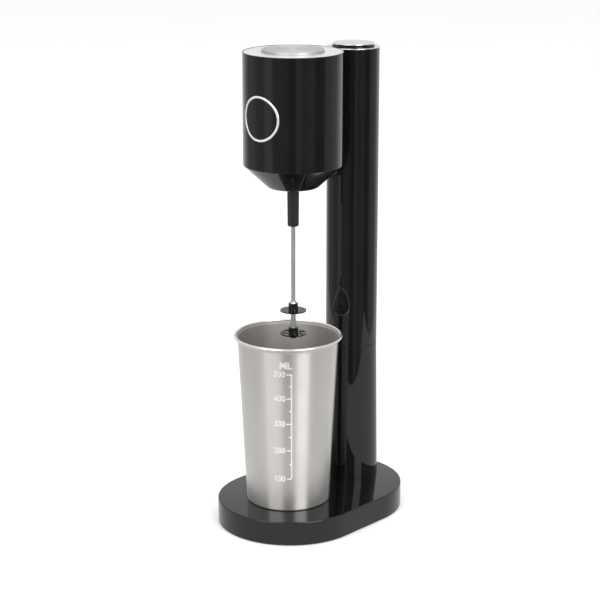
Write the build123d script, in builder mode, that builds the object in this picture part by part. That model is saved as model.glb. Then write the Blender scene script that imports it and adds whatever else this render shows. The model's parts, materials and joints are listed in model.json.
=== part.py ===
from build123d import *
import os
from math import atan2, cos, radians, sin, sqrt, tan

# A stand drink mixer: a stadium-shaped base, a round column behind, and a motor head that
# holds a whisk over a steel cup.  Millimetres, +Z up, front towards -Y.
# The origin is the centre of the base's footprint, on the surface that the mixer stands on.

# ---------------------------------------------------------------- driving dimensions
base_end_r = 60.8
base_straight = 50.0
base_top_z = 20.4
base_wall = 2.4
base_edge_r = 1.0
foot_proud = 0.8
foot_r = 8.0
plate_t = 2.2

column_r = 21.6
column_flare = 1.7
column_wall = 2.4
column_back_margin = 10.6
column_stub_height = 118.5
column_height = 368.3
spigot_height = 18.0
seam_chamfer = 0.3

head_r = 40.1
head_gap = 11.8
head_height = 90.1
head_above_column = 3.8
head_wall = 2.2
head_lip_t = 0.8
cone_depth = 18.8
cone_bottom_r = 20.0
cone_fillet = 5.0

neck_width = 12.0
neck_wall = 2.4
neck_below_head = 17.0
neck_trim_t = 1.2

disc_r = 24.8
disc_height = 2.2

start_button_inset = 4.2
start_button_rise = 4.3
start_button_travel = 2.5
front_button_r = 16.0
front_button_travel = 1.2
front_button_drop = 48.8
front_ring_w = 1.7
front_ring_proud = 0.4

cup_height = 141.8
cup_mouth_r = 41.3
cup_rim_flare = 3.3
cup_floor_r = 34.3
cup_wall = 0.6
cup_bead_r = 1.4
cup_forward = 6.4

socket_top_r = 4.9
socket_bottom_r = 4.7
socket_reach = 32.1
socket_grip = 21.0
rod_r = 1.8
whisk_reach = 94.2
whisk_disc_r = 10.75
whisk_disc_t = 1.0
whisk_disc_gap = 19.4
whisk_hub_r = 4.0
whisk_hub_height = 5.6
tip_r = 2.8

motor_inset = 20.1
motor_length = 41.5
motor_wall = 1.6
shaft_r = 2.0
cord_r = 3.2

# ---------------------------------------------------------------- clearances and fasteners
slip = 0.15
moving_gap = 0.3
running = 0.03
thread_gap = 0.05
overcut = 1.0
pilot_end_t = 1.0
screw_r = 1.4
screw_head_r = 2.8
screw_head_t = 1.6
screw_pass_r = 1.7
boss_r = 3.5

# ---------------------------------------------------------------- places worked out from them
plate_bottom_z = foot_proud
plate_top_z = plate_bottom_z + plate_t
base_ceiling_z = base_top_z - base_wall
base_back_y = base_straight / 2 + base_end_r

column_foot_r = column_r + column_flare
column_y = base_back_y - column_back_margin - column_foot_r
column_seam_z = base_top_z + column_stub_height
column_top_z = base_top_z + column_height
column_bore_r = column_r - column_wall
start_button_r = column_r - start_button_inset

head_y = column_y - column_r - head_gap - head_r
head_top_z = column_top_z + head_above_column
head_bottom_z = head_top_z - head_height
head_bore_r = head_r - head_wall
motor_r = head_r - motor_inset
cone_bottom_z = head_bottom_z - cone_depth

cup_y = head_y - cup_forward
cup_rim_r = cup_mouth_r + cup_rim_flare
socket_bottom_z = cone_bottom_z - socket_reach
whisk_tip_z = socket_bottom_z - whisk_reach


def at(x, y, z):
    """A horizontal plane at a point, facing up."""
    return Plane(origin=(x, y, z))


def facing(x, y, z, direction):
    """A plane at a point whose normal is the given direction, with Z kept in the plane."""
    normal = Vector(*direction)
    return Plane(origin=(x, y, z), x_dir=Vector(0, 0, 1).cross(normal), z_dir=normal)


def column_point(radius, angle, z):
    """A point at a radius and an angle from +X about the column's axis."""
    return (radius * cos(radians(angle)), column_y + radius * sin(radians(angle)), z)


def head_point(radius, angle, z):
    """A point at a radius and an angle from +X about the head's axis."""
    return (radius * cos(radians(angle)), head_y + radius * sin(radians(angle)), z)


def screws(planes, length, head_r=screw_head_r, head_t=screw_head_t, shank_r=screw_r):
    """Cross-head screws, one on each plane, which holds the underside of the head."""
    with BuildPart() as made:
        for plane in planes:
            with BuildSketch(plane):
                Circle(head_r)
            extrude(amount=head_t)
            with BuildSketch(plane):
                Circle(shank_r)
            extrude(amount=-length)
            with BuildSketch(plane.offset(head_t)):
                Rectangle(head_r * 1.2, head_r * 0.25)
                Rectangle(head_r * 0.25, head_r * 1.2)
            extrude(amount=-head_t / 2, mode=Mode.SUBTRACT)
    return made


os.makedirs("parts", exist_ok=True)

# ================================================================ base
foot_inset = 26.8
foot_x = base_end_r - foot_inset
foot_y = base_straight / 2 + 25.0
foot_spots = [(x, y) for x in (-foot_x, foot_x) for y in (-foot_y, foot_y)]
foot_stem_r = foot_r / 3
foot_button_r = foot_stem_r + 1.0
foot_button_t = 1.2
base_screw_inset = 6.5
base_screw_x = base_end_r - base_wall - boss_r - base_screw_inset
base_screw_y = base_straight / 2 + 1.0
base_screw_spots = [(x, y) for x in (-base_screw_x, base_screw_x) for y in (-base_screw_y, base_screw_y)]
base_screw_grip = 9.0
boss_margin = 1.0
column_screw_ring_r = column_bore_r - boss_r - boss_margin
column_screw_angles = [-90.0, 30.0, 150.0]
wire_hole_r = 7.0
cord_z = (plate_top_z + base_ceiling_z) / 2

# grommet: a neck through the base's back wall between two flanges
grommet_neck_r = cord_r + 1.8
grommet_flange_r = grommet_neck_r + 1.6
grommet_outer_t = 1.2
grommet_inner_t = 2.0
grommet_sink = 0.4
base_inner_end_r = base_end_r - base_wall
grommet_inner_y = base_straight / 2 + sqrt(base_inner_end_r**2 - grommet_flange_r**2)
grommet_back_y = base_back_y - grommet_sink
grommet_recess_y = grommet_back_y - grommet_outer_t

# steel weight under the cup, held between the plate and posts in the cover
ballast_inset = 30.8
ballast_end_r = base_end_r - ballast_inset
ballast_straight = base_straight - 20.0
ballast_t = 8.0
ballast_column_gap = 24.9
ballast_y = column_y - ballast_column_gap - ballast_end_r - ballast_straight / 2
ballast_post_r = 4.0
ballast_post_reach = ballast_straight / 2 + 5.0
ballast_post_spots = [(0, ballast_y - ballast_post_reach), (0, ballast_y + ballast_post_reach)]
ballast_peg_r = 3.0
ballast_peg_height = 4.0
ballast_peg_inset = 12.0
ballast_peg_reach = ballast_end_r - ballast_peg_inset
ballast_peg_spots = [(-ballast_peg_reach, ballast_y), (ballast_peg_reach, ballast_y)]

with BuildPart() as base_cover:
    with BuildSketch(Plane.XY.offset(foot_proud)):
        SlotCenterToCenter(base_straight, 2 * base_end_r, rotation=90)
    extrude(amount=base_top_z - foot_proud)
    fillet(base_cover.faces().sort_by(Axis.Z)[-1].edges(), base_edge_r)
    with BuildSketch(Plane.XY.offset(foot_proud)):
        SlotCenterToCenter(base_straight, 2 * base_inner_end_r, rotation=90)
    extrude(amount=base_ceiling_z - foot_proud, mode=Mode.SUBTRACT)
    with BuildSketch(Plane.XY.offset(plate_top_z)):
        with Locations(*base_screw_spots):
            Circle(boss_r)
    extrude(amount=base_ceiling_z - plate_top_z)
    with BuildSketch(Plane.XY.offset(plate_top_z + ballast_t)):
        with Locations(*ballast_post_spots):
            Circle(ballast_post_r)
    extrude(amount=base_ceiling_z - plate_top_z - ballast_t)
    # pilot holes in the bosses, stopping short of the top face
    with BuildSketch(Plane.XY.offset(plate_top_z)):
        with Locations(*base_screw_spots):
            Circle(screw_r + thread_gap)
    extrude(amount=base_ceiling_z - plate_top_z - pilot_end_t, mode=Mode.SUBTRACT)
    # holes for the wires and for the column's screws
    with BuildSketch(at(0, column_y, base_ceiling_z)):
        Circle(wire_hole_r)
        for angle in column_screw_angles:
            with PolarLocations(column_screw_ring_r, 1, start_angle=angle):
                Circle(screw_pass_r)
    extrude(amount=base_wall, mode=Mode.SUBTRACT)
    # hole for the cord's grommet in the back wall
    with BuildSketch(facing(0, base_back_y - 2 * base_wall, cord_z, (0, 1, 0))):
        Circle(grommet_neck_r)
    extrude(amount=3 * base_wall, mode=Mode.SUBTRACT)
    with BuildSketch(facing(0, grommet_recess_y, cord_z, (0, 1, 0))):
        Circle(grommet_flange_r)
    extrude(amount=base_wall, mode=Mode.SUBTRACT)
base_cover.part.label = "base_cover"
export_step(base_cover.part, "parts/base_cover.step")

with BuildPart() as base_plate:
    with BuildSketch(Plane.XY.offset(plate_bottom_z)):
        SlotCenterToCenter(base_straight, 2 * (base_inner_end_r - slip), rotation=90)
        with Locations(*foot_spots):
            Circle(foot_stem_r + slip, mode=Mode.SUBTRACT)
        with Locations(*base_screw_spots):
            Circle(screw_pass_r, mode=Mode.SUBTRACT)
    extrude(amount=plate_t)
    with BuildSketch(Plane.XY.offset(plate_bottom_z)):
        with Locations(*base_screw_spots):
            Circle(screw_head_r + slip)
    extrude(amount=plate_t / 2, mode=Mode.SUBTRACT)
    with BuildSketch(Plane.XY.offset(plate_top_z)):
        with Locations(*ballast_peg_spots):
            Circle(ballast_peg_r)
    extrude(amount=ballast_peg_height)
base_plate.part.label = "base_plate"
export_step(base_plate.part, "parts/base_plate.step")

with BuildPart() as ballast_weight:
    with BuildSketch(at(0, ballast_y, plate_top_z)):
        SlotCenterToCenter(ballast_straight, 2 * ballast_end_r, rotation=90)
    extrude(amount=ballast_t)
    with BuildSketch(Plane.XY.offset(plate_top_z)):
        with Locations(*ballast_peg_spots):
            Circle(ballast_peg_r + slip)
    extrude(amount=ballast_t, mode=Mode.SUBTRACT)
ballast_weight.part.label = "ballast_weight"
export_step(ballast_weight.part, "parts/ballast_weight.step")

with BuildPart() as rubber_feet:
    # pad under the plate, stem through it, and a button head above that keeps it in
    with BuildSketch(Plane.XY):
        with Locations(*foot_spots):
            Circle(foot_r)
    extrude(amount=foot_proud)
    with BuildSketch(Plane.XY.offset(foot_proud)):
        with Locations(*foot_spots):
            Circle(foot_stem_r)
    extrude(amount=plate_t)
    with BuildSketch(Plane.XY.offset(plate_top_z)):
        with Locations(*foot_spots):
            Circle(foot_button_r)
    extrude(amount=foot_button_t)
rubber_feet.part.label = "rubber_feet"
export_step(rubber_feet.part, "parts/rubber_feet.step")

base_screw_planes = [
    Plane(origin=(x, y, plate_bottom_z + plate_t / 2), x_dir=(1, 0, 0), z_dir=(0, 0, -1))
    for x, y in base_screw_spots
]
base_screws = screws(base_screw_planes, plate_t / 2 + base_screw_grip, head_t=plate_t / 2)
base_screws.part.label = "base_screws"
export_step(base_screws.part, "parts/base_screws.step")

with BuildPart() as cord_grommet:
    with BuildSketch(facing(0, grommet_inner_y - grommet_inner_t, cord_z, (0, 1, 0))):
        Circle(grommet_flange_r)
    extrude(amount=grommet_inner_t)
    with BuildSketch(facing(0, grommet_inner_y, cord_z, (0, 1, 0))):
        Circle(grommet_neck_r)
    extrude(amount=grommet_recess_y - grommet_inner_y)
    with BuildSketch(facing(0, grommet_recess_y, cord_z, (0, 1, 0))):
        Circle(grommet_flange_r)
    extrude(amount=grommet_outer_t)
    with BuildSketch(facing(0, grommet_inner_y - grommet_inner_t, cord_z, (0, 1, 0))):
        Circle(cord_r)
    extrude(amount=grommet_back_y - grommet_inner_y + grommet_inner_t, mode=Mode.SUBTRACT)
cord_grommet.part.label = "cord_grommet"
export_step(cord_grommet.part, "parts/cord_grommet.step")

# ================================================================ column
lead_r = 1.6
lead_bend_r = 8.0
block_depth = 10.0
block_width = 22.0
block_height = 9.0
wire_pocket_r = 2.0
wire_pocket_depth = 3.0
block_grommet_gap = 3.3
block_front_y = grommet_inner_y - grommet_inner_t - block_grommet_gap - block_depth

with BuildPart() as terminal_block:
    with BuildSketch(at(0, block_front_y + block_depth / 2, plate_top_z)):
        Rectangle(block_width, block_depth)
    extrude(amount=block_height)
    # screw pockets on top, one for each wire
    with BuildSketch(at(0, block_front_y + block_depth / 2, plate_top_z + block_height)):
        with GridLocations(block_width / 3, 1, 3, 1):
            Circle(wire_pocket_r)
    extrude(amount=-wire_pocket_depth, mode=Mode.SUBTRACT)
terminal_block.part.label = "terminal_block"
export_step(terminal_block.part, "parts/terminal_block.step")

stub_floor_t = 4.0
stub_boss_height = 14.0
foot_screw_grip = 11.0
spigot_r = column_bore_r - slip
spigot_bore_r = spigot_r - column_wall
spigot_root = 10.0
column_screw_z = column_seam_z + spigot_height / 2
column_rear_angles = [60.0, 120.0]

with BuildPart() as lower_column:
    with BuildSketch(facing(0, column_y, 0, (0, -1, 0))):
        with BuildLine():
            Polyline(
                (0, base_top_z),
                (column_foot_r, base_top_z),
                (column_r, column_seam_z - seam_chamfer),
                (column_r - seam_chamfer, column_seam_z),
                (spigot_r, column_seam_z),
                (spigot_r, column_seam_z + spigot_height),
                (spigot_bore_r, column_seam_z + spigot_height),
                (spigot_bore_r, column_seam_z - spigot_root),
                (column_bore_r, column_seam_z - spigot_root - column_wall),
                (column_bore_r, base_top_z + stub_floor_t),
                (0, base_top_z + stub_floor_t),
                close=True,
            )
        make_face()
    revolve(axis=Axis((0, column_y, 0), (0, 0, 1)))
    with BuildSketch(at(0, column_y, base_top_z)):
        for angle in column_screw_angles:
            with PolarLocations(column_screw_ring_r, 1, start_angle=angle):
                Circle(boss_r)
    extrude(amount=stub_boss_height)
    with BuildSketch(at(0, column_y, base_top_z)):
        Circle(wire_hole_r)
    extrude(amount=stub_floor_t, mode=Mode.SUBTRACT)
    with BuildSketch(at(0, column_y, base_top_z)):
        for angle in column_screw_angles:
            with PolarLocations(column_screw_ring_r, 1, start_angle=angle):
                Circle(screw_r + thread_gap)
    extrude(amount=stub_boss_height - pilot_end_t, mode=Mode.SUBTRACT)
    # pilot holes for the screws that hold the upper column
    for angle in column_rear_angles:
        outward = (cos(radians(angle)), sin(radians(angle)), 0)
        with BuildSketch(facing(*column_point(spigot_bore_r - overcut, angle, column_screw_z), outward)):
            Circle(screw_r + thread_gap)
        extrude(amount=column_wall + 2 * overcut, mode=Mode.SUBTRACT)
lower_column.part.label = "lower_column"
export_step(lower_column.part, "parts/lower_column.step")

column_foot_spots = [column_point(column_screw_ring_r, a, base_ceiling_z) for a in column_screw_angles]
column_foot_planes = [Plane(origin=spot, x_dir=(1, 0, 0), z_dir=(0, 0, -1)) for spot in column_foot_spots]
column_foot_screws = screws(column_foot_planes, base_wall + foot_screw_grip)
column_foot_screws.part.label = "column_foot_screws"
export_step(column_foot_screws.part, "parts/column_foot_screws.step")

# heights of what crosses between the column and the head
neck_top_z = column_top_z - neck_trim_t / 2
neck_bottom_z = head_bottom_z - neck_below_head
neck_lower_screw = 15.6
neck_upper_screw = 16.7
neck_screw_heights = [head_bottom_z + neck_lower_screw, column_top_z - neck_upper_screw]
bracket_depth = 22.7
bracket_top_z = column_top_z - bracket_depth
bracket_t = 3.0
stem_past_bracket = 2.0
plunger_rise = 1.2
plunger_r = 1.5
switch_gap = 0.3
stem_bottom_z = bracket_top_z - bracket_t - stem_past_bracket
plunger_top_z = stem_bottom_z - start_button_travel - switch_gap
switch_body_top_z = plunger_top_z - plunger_rise
switch_height = 10.0
switch_width = 20.0
switch_depth = 6.4
neck_lead_z = switch_body_top_z - switch_height / 2
neck_wire_hole_r = 3.0

with BuildPart() as upper_column:
    with BuildSketch(at(0, column_y, column_seam_z)):
        Circle(column_r)
    extrude(amount=column_top_z - column_seam_z)
    chamfer(upper_column.edges().sort_by(Axis.Z)[0], seam_chamfer)
    with BuildSketch(at(0, column_y, column_seam_z)):
        Circle(column_bore_r)
    extrude(amount=column_top_z - column_seam_z, mode=Mode.SUBTRACT)
    # front wall: screw holes and the wire hole into the neck
    front_of_column = column_y - (column_bore_r + column_r) / 2
    for height in neck_screw_heights:
        with BuildSketch(facing(0, front_of_column, height, (0, -1, 0))):
            Circle(screw_pass_r)
        extrude(amount=column_wall, both=True, mode=Mode.SUBTRACT)
    with BuildSketch(facing(0, front_of_column, neck_lead_z, (0, -1, 0))):
        Circle(neck_wire_hole_r)
    extrude(amount=column_wall, both=True, mode=Mode.SUBTRACT)
    # back wall: recessed holes for the two screws into the spigot
    for angle in column_rear_angles:
        outward = (cos(radians(angle)), sin(radians(angle)), 0)
        with BuildSketch(facing(*column_point(column_bore_r - overcut, angle, column_screw_z), outward)):
            Circle(screw_pass_r)
        extrude(amount=column_wall + 2 * overcut, mode=Mode.SUBTRACT)
        with BuildSketch(facing(*column_point(column_r - screw_head_t, angle, column_screw_z), outward)):
            Circle(screw_head_r + slip)
        extrude(amount=column_wall, mode=Mode.SUBTRACT)
upper_column.part.label = "upper_column"
export_step(upper_column.part, "parts/upper_column.step")

column_rear_planes = [
    facing(
        *column_point(column_r - screw_head_t, angle, column_screw_z),
        (cos(radians(angle)), sin(radians(angle)), 0),
    )
    for angle in column_rear_angles
]
column_screws = screws(column_rear_planes, 2 * column_wall, head_t=screw_head_t - slip)
column_screws.part.label = "column_screws"
export_step(column_screws.part, "parts/column_screws.step")

# ================================================================ start button on the column
bezel_t = 0.9
bezel_top_z = column_top_z + bezel_t
bezel_bore_r = start_button_r + moving_gap
bezel_sleeve_depth = 9.0

with BuildPart() as column_bezel:
    with BuildSketch(at(0, column_y, column_top_z)):
        Circle(column_r)
    extrude(amount=bezel_t)
    fillet(column_bezel.edges().sort_by(Axis.Z)[-1], bezel_t / 2)
    with BuildSketch(at(0, column_y, column_top_z - bezel_sleeve_depth)):
        Circle(column_bore_r - slip)
    extrude(amount=bezel_sleeve_depth)
    with BuildSketch(at(0, column_y, column_top_z - bezel_sleeve_depth)):
        Circle(bezel_bore_r)
    extrude(amount=bezel_sleeve_depth + bezel_t, mode=Mode.SUBTRACT)
column_bezel.part.label = "column_bezel"
export_step(column_bezel.part, "parts/column_bezel.step")

button_top_z = column_top_z + start_button_rise
button_dome = 0.6
button_edge_r = 0.6
button_skirt_depth = 4.0
button_skirt_bottom_z = column_top_z - button_skirt_depth
button_wall = 1.5
button_ceiling_z = button_top_z - button_dome - button_wall
stem_r = 2.5
stem_root = 0.5
dome_radius = (start_button_r**2 + button_dome**2) / (2 * button_dome)

with BuildPart() as start_button:
    with BuildSketch(facing(0, column_y, 0, (0, -1, 0))) as button_section:
        with BuildLine():
            Line((0, button_top_z), (0, button_skirt_bottom_z))
            Line((0, button_skirt_bottom_z), (start_button_r, button_skirt_bottom_z))
            Line((start_button_r, button_skirt_bottom_z), (start_button_r, button_top_z - button_dome))
            RadiusArc((start_button_r, button_top_z - button_dome), (0, button_top_z), -dome_radius)
        make_face()
        rim = (start_button_r, button_top_z - button_dome)
        fillet(button_section.vertices().sort_by_distance(rim)[0], button_edge_r)
    revolve(axis=Axis((0, column_y, 0), (0, 0, 1)))
    with BuildSketch(at(0, column_y, button_skirt_bottom_z)):
        Circle(start_button_r - button_wall)
    extrude(amount=button_ceiling_z - button_skirt_bottom_z, mode=Mode.SUBTRACT)
    with BuildSketch(at(0, column_y, stem_bottom_z)):
        Circle(stem_r)
    extrude(amount=button_ceiling_z + stem_root - stem_bottom_z)
start_button.part.label = "start_button"
export_step(start_button.part, "parts/start_button.step")

spring_wire_r = 0.4
spring_r = 5.0
spring_turns = 7
spring_end_gap = 0.05
spring_length = button_ceiling_z - bracket_top_z - 2 * (spring_wire_r + spring_end_gap)

with BuildPart() as button_spring:
    with BuildLine() as spring_path:
        Helix(
            pitch=spring_length / spring_turns,
            height=spring_length,
            radius=spring_r,
            center=(0, column_y, bracket_top_z + spring_wire_r + spring_end_gap),
        )
    with BuildSketch(Plane(origin=spring_path.line @ 0, z_dir=spring_path.line % 0)):
        Circle(spring_wire_r)
    sweep(is_frenet=True)
button_spring.part.label = "button_spring"
export_step(button_spring.part, "parts/button_spring.step")

bracket_leg_t = 2.0
bracket_bar_t = 3.0
switch_bottom_z = switch_body_top_z - switch_height

with BuildPart() as switch_bracket:
    # guide disc for the button's stem, with two legs and a bar that carry the switch
    with BuildSketch(at(0, column_y, bracket_top_z)):
        Circle(column_bore_r - slip)
        Circle(stem_r + moving_gap, mode=Mode.SUBTRACT)
    extrude(amount=-bracket_t)
    with BuildSketch(at(0, column_y, bracket_top_z - bracket_t)):
        with GridLocations(switch_width + bracket_leg_t + 2 * slip, 1, 2, 1):
            Rectangle(bracket_leg_t, switch_depth)
    extrude(amount=switch_bottom_z - bracket_bar_t - bracket_top_z + bracket_t)
    with BuildSketch(at(0, column_y, switch_bottom_z)):
        Rectangle(switch_width + 2 * bracket_leg_t + 2 * slip, switch_depth)
        Circle(lead_r + slip, mode=Mode.SUBTRACT)
    extrude(amount=-bracket_bar_t)
switch_bracket.part.label = "switch_bracket"
export_step(switch_bracket.part, "parts/switch_bracket.step")

with BuildPart() as start_switch:
    with BuildSketch(at(0, column_y, switch_bottom_z)):
        Rectangle(switch_width, switch_depth)
    extrude(amount=switch_height)
    with BuildSketch(at(0, column_y, switch_body_top_z)):
        Circle(plunger_r)
    extrude(amount=plunger_top_z - switch_body_top_z)
start_switch.part.label = "start_switch"
export_step(start_switch.part, "parts/start_switch.step")

power_lead_z = plate_top_z + block_height / 2
with BuildPart() as power_lead:
    with BuildLine() as power_path:
        FilletPolyline(
            (0, block_front_y, power_lead_z),
            (0, column_y, power_lead_z),
            (0, column_y, switch_bottom_z),
            radius=lead_bend_r,
        )
    with BuildSketch(facing(0, block_front_y, power_lead_z, (0, -1, 0))):
        Circle(lead_r)
    sweep(path=power_path.line)
power_lead.part.label = "power_lead"
export_step(power_lead.part, "parts/power_lead.step")

# ================================================================ neck between column and head
neck_mid_z = (neck_bottom_z + neck_top_z) / 2
neck_height = neck_top_z - neck_bottom_z
neck_corner_r = 3.0
web_height = 10.0
neck_screw_grip = 4.5
cone_slant = atan2(cone_depth, head_r - cone_bottom_r)

with BuildPart() as neck:
    with BuildSketch(facing(0, head_y, neck_mid_z, (0, 1, 0))) as neck_outline:
        Rectangle(neck_width, neck_height)
        fillet(neck_outline.vertices().group_by(Axis.Y)[0], neck_corner_r)
    extrude(amount=column_y - head_y)
    with BuildSketch(facing(0, head_y, neck_mid_z, (0, 1, 0))) as neck_bore:
        Rectangle(neck_width - 2 * neck_wall, neck_height - 2 * neck_wall)
        for height in neck_screw_heights:
            with Locations((0, height - neck_mid_z)):
                Rectangle(neck_width, web_height, mode=Mode.SUBTRACT)
    extrude(amount=column_y - head_y, mode=Mode.SUBTRACT)
    # room for the head, its cone, and the column
    with BuildSketch(at(0, head_y, head_bottom_z)):
        Circle(head_r)
    extrude(amount=head_height, mode=Mode.SUBTRACT)
    with BuildSketch(facing(0, head_y, 0, (0, -1, 0))):
        with BuildLine():
            Polyline(
                (0, head_bottom_z),
                (head_r, head_bottom_z),
                (cone_bottom_r, cone_bottom_z),
                (cone_bottom_r, neck_bottom_z - overcut),
                (0, neck_bottom_z - overcut),
                close=True,
            )
        make_face()
    revolve(axis=Axis((0, head_y, 0), (0, 0, 1)), mode=Mode.SUBTRACT)
    with BuildSketch(at(0, column_y, neck_bottom_z)):
        Circle(column_r)
    extrude(amount=neck_height, mode=Mode.SUBTRACT)
    # pilot holes from both ends of each web
    for height in neck_screw_heights:
        with BuildSketch(facing(0, head_y + head_r, height, (0, 1, 0))):
            Circle(screw_r + thread_gap)
        extrude(amount=head_gap + overcut, both=True, mode=Mode.SUBTRACT)
neck.part.label = "neck"
export_step(neck.part, "parts/neck.step")

with BuildPart() as neck_trim:
    with BuildSketch(at(0, (head_y + column_y) / 2, neck_top_z)):
        Rectangle(neck_width, column_y - head_y)
        with Locations((0, -(column_y - head_y) / 2)):
            Circle(head_r, mode=Mode.SUBTRACT)
        with Locations((0, (column_y - head_y) / 2)):
            Circle(column_r, mode=Mode.SUBTRACT)
    extrude(amount=neck_trim_t)
neck_trim.part.label = "neck_trim"
export_step(neck_trim.part, "parts/neck_trim.step")

head_side_y = head_y + sqrt(head_bore_r**2 - screw_head_r**2)
column_side_y = column_y - sqrt(column_bore_r**2 - screw_head_r**2)
neck_screw_planes = [facing(0, head_side_y, z, (0, -1, 0)) for z in neck_screw_heights]
neck_screw_planes += [facing(0, column_side_y, z, (0, 1, 0)) for z in neck_screw_heights]
neck_screws = screws(neck_screw_planes, head_wall + neck_screw_grip)
neck_screws.part.label = "neck_screws"
export_step(neck_screws.part, "parts/neck_screws.step")

# ================================================================ head casing
cap_t = 2.8
cap_sink = 0.2
cap_r = head_r - head_lip_t - slip / 2
lug_inset = 6.9
lug_ring_r = head_bore_r - lug_inset
lug_angles = [-90.0, 30.0, 150.0]
cone_boss_top_z = head_bottom_z + 5.6
chassis_t = 2.5
chassis_top_z = cone_boss_top_z + chassis_t
lug_t = 4.0
front_button_z = head_top_z - front_button_drop
ring_outer_r = front_button_r + moving_gap + front_ring_w
board_t = 1.6
board_motor_gap = 4.2
board_front_y = head_y - motor_r - board_motor_gap
board_post_gap = ring_outer_r + boss_r + boss_margin
board_pilot = 8.0
head_edge = 0.3
board_heights = [front_button_z - board_post_gap, front_button_z + board_post_gap]

with BuildPart() as head_shell:
    with BuildSketch(at(0, head_y, head_bottom_z)):
        Circle(head_bore_r)
    extrude(amount=head_height)
    # inward lugs that the chassis screws pass through: slices of the bore at three angles
    with BuildSketch(at(0, head_y, chassis_top_z)):
        for angle in lug_angles:
            with PolarLocations(lug_ring_r, 1, start_angle=angle):
                Circle(boss_r)
            with PolarLocations(lug_ring_r + boss_r, 1, start_angle=angle):
                Rectangle(2 * boss_r, 2 * boss_r)
    extrude(amount=lug_t, mode=Mode.INTERSECT)
    # posts for the switch board, from the front wall back
    for height in board_heights:
        with BuildSketch(facing(0, head_y - head_bore_r - head_wall / 2, height, (0, 1, 0))):
            Circle(boss_r)
        extrude(amount=board_front_y - head_y + head_bore_r + head_wall / 2)
    # the round wall itself, and the counterbore for the top cap
    with BuildSketch(at(0, head_y, head_bottom_z)):
        Circle(head_r)
        Circle(head_bore_r, mode=Mode.SUBTRACT)
    extrude(amount=head_height)
    top_circles = head_shell.edges().filter_by(GeomType.CIRCLE).group_by(Axis.Z)[-1]
    chamfer(top_circles.sort_by(SortBy.RADIUS)[-1], head_edge)
    with BuildSketch(at(0, head_y, head_top_z)):
        Circle(head_r - head_lip_t)
    extrude(amount=-cap_t - cap_sink, mode=Mode.SUBTRACT)
    for angle in lug_angles:
        with BuildSketch(at(*head_point(lug_ring_r, angle, chassis_top_z))):
            Circle(screw_pass_r)
        extrude(amount=lug_t, mode=Mode.SUBTRACT)
    for height in board_heights:
        with BuildSketch(facing(0, board_front_y, height, (0, -1, 0))):
            Circle(screw_r + thread_gap)
        extrude(amount=board_pilot, mode=Mode.SUBTRACT)
    # front opening for the ring and button
    with BuildSketch(facing(0, head_y - head_r - overcut, front_button_z, (0, 1, 0))):
        Circle(ring_outer_r)
    extrude(amount=head_r / 2, mode=Mode.SUBTRACT)
    # back wall: holes for the neck's screws and for the wires
    for height in neck_screw_heights:
        with BuildSketch(facing(0, head_y + head_bore_r, height, (0, 1, 0))):
            Circle(screw_pass_r)
        extrude(amount=head_wall, both=True, mode=Mode.SUBTRACT)
    with BuildSketch(facing(0, head_y + head_bore_r, neck_lead_z, (0, 1, 0))):
        Circle(neck_wire_hole_r)
    extrude(amount=head_wall, both=True, mode=Mode.SUBTRACT)
head_shell.part.label = "head_shell"
export_step(head_shell.part, "parts/head_shell.step")

cone_wall = 2.4
collar_t = 2.0
collar_height = 5.0
collar_r = head_bore_r - slip
drive_gap = 0.45
drive_hole_r = socket_top_r + drive_gap
seal_housing_r = 9.0
seal_r = 7.0
socket_inside = 6.6
socket_top_z = cone_bottom_z + socket_inside
seal_gap = 0.8
seal_bottom_z = socket_top_z + seal_gap
cone_pilot = 8.0
seal_t = 3.0

with BuildPart() as head_cone:
    # screw bosses, trimmed to the inside of the cone's outer skin
    for angle in lug_angles:
        with BuildSketch(at(*head_point(lug_ring_r, angle, cone_bottom_z))):
            Circle(boss_r)
        extrude(amount=cone_boss_top_z - cone_bottom_z)
    with BuildSketch(facing(0, head_y, 0, (0, -1, 0))):
        with BuildLine():
            Polyline(
                (0, cone_boss_top_z),
                (collar_r, cone_boss_top_z),
                (collar_r, head_bottom_z),
                (head_r, head_bottom_z),
                (cone_bottom_r, cone_bottom_z),
                (0, cone_bottom_z),
                close=True,
            )
        make_face()
    revolve(axis=Axis((0, head_y, 0), (0, 0, 1)), mode=Mode.INTERSECT)
    # the wall, its collar inside the shell, and the housing of the shaft seal
    with BuildSketch(facing(0, head_y, 0, (0, -1, 0))) as cone_section:
        with BuildLine():
            Polyline(
                (head_r, head_bottom_z),
                (cone_bottom_r, cone_bottom_z),
                (drive_hole_r, cone_bottom_z),
                (drive_hole_r, cone_bottom_z + cone_wall),
                (seal_r, cone_bottom_z + cone_wall),
                (seal_r, seal_bottom_z + seal_t),
                (seal_housing_r, seal_bottom_z + seal_t),
                (seal_housing_r, cone_bottom_z + cone_wall),
                (cone_bottom_r - cone_wall * tan(cone_slant / 2), cone_bottom_z + cone_wall),
                (collar_r - collar_t, head_bottom_z - cone_wall),
                (collar_r - collar_t, head_bottom_z + collar_height),
                (collar_r, head_bottom_z + collar_height),
                (collar_r, head_bottom_z),
                close=True,
            )
        make_face()
        bottom_corner = cone_section.vertices().sort_by_distance((cone_bottom_r, cone_bottom_z))[0]
        fillet(bottom_corner, cone_fillet)
    revolve(axis=Axis((0, head_y, 0), (0, 0, 1)))
    for angle in lug_angles:
        with BuildSketch(at(*head_point(lug_ring_r, angle, cone_boss_top_z))):
            Circle(screw_r + thread_gap)
        extrude(amount=-cone_pilot, mode=Mode.SUBTRACT)
head_cone.part.label = "head_cone"
export_step(head_cone.part, "parts/head_cone.step")

with BuildPart() as shaft_seal:
    with BuildSketch(at(0, head_y, seal_bottom_z)):
        Circle(seal_r)
        Circle(shaft_r + running, mode=Mode.SUBTRACT)
    extrude(amount=seal_t)
shaft_seal.part.label = "shaft_seal"
export_step(shaft_seal.part, "parts/shaft_seal.step")

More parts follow.
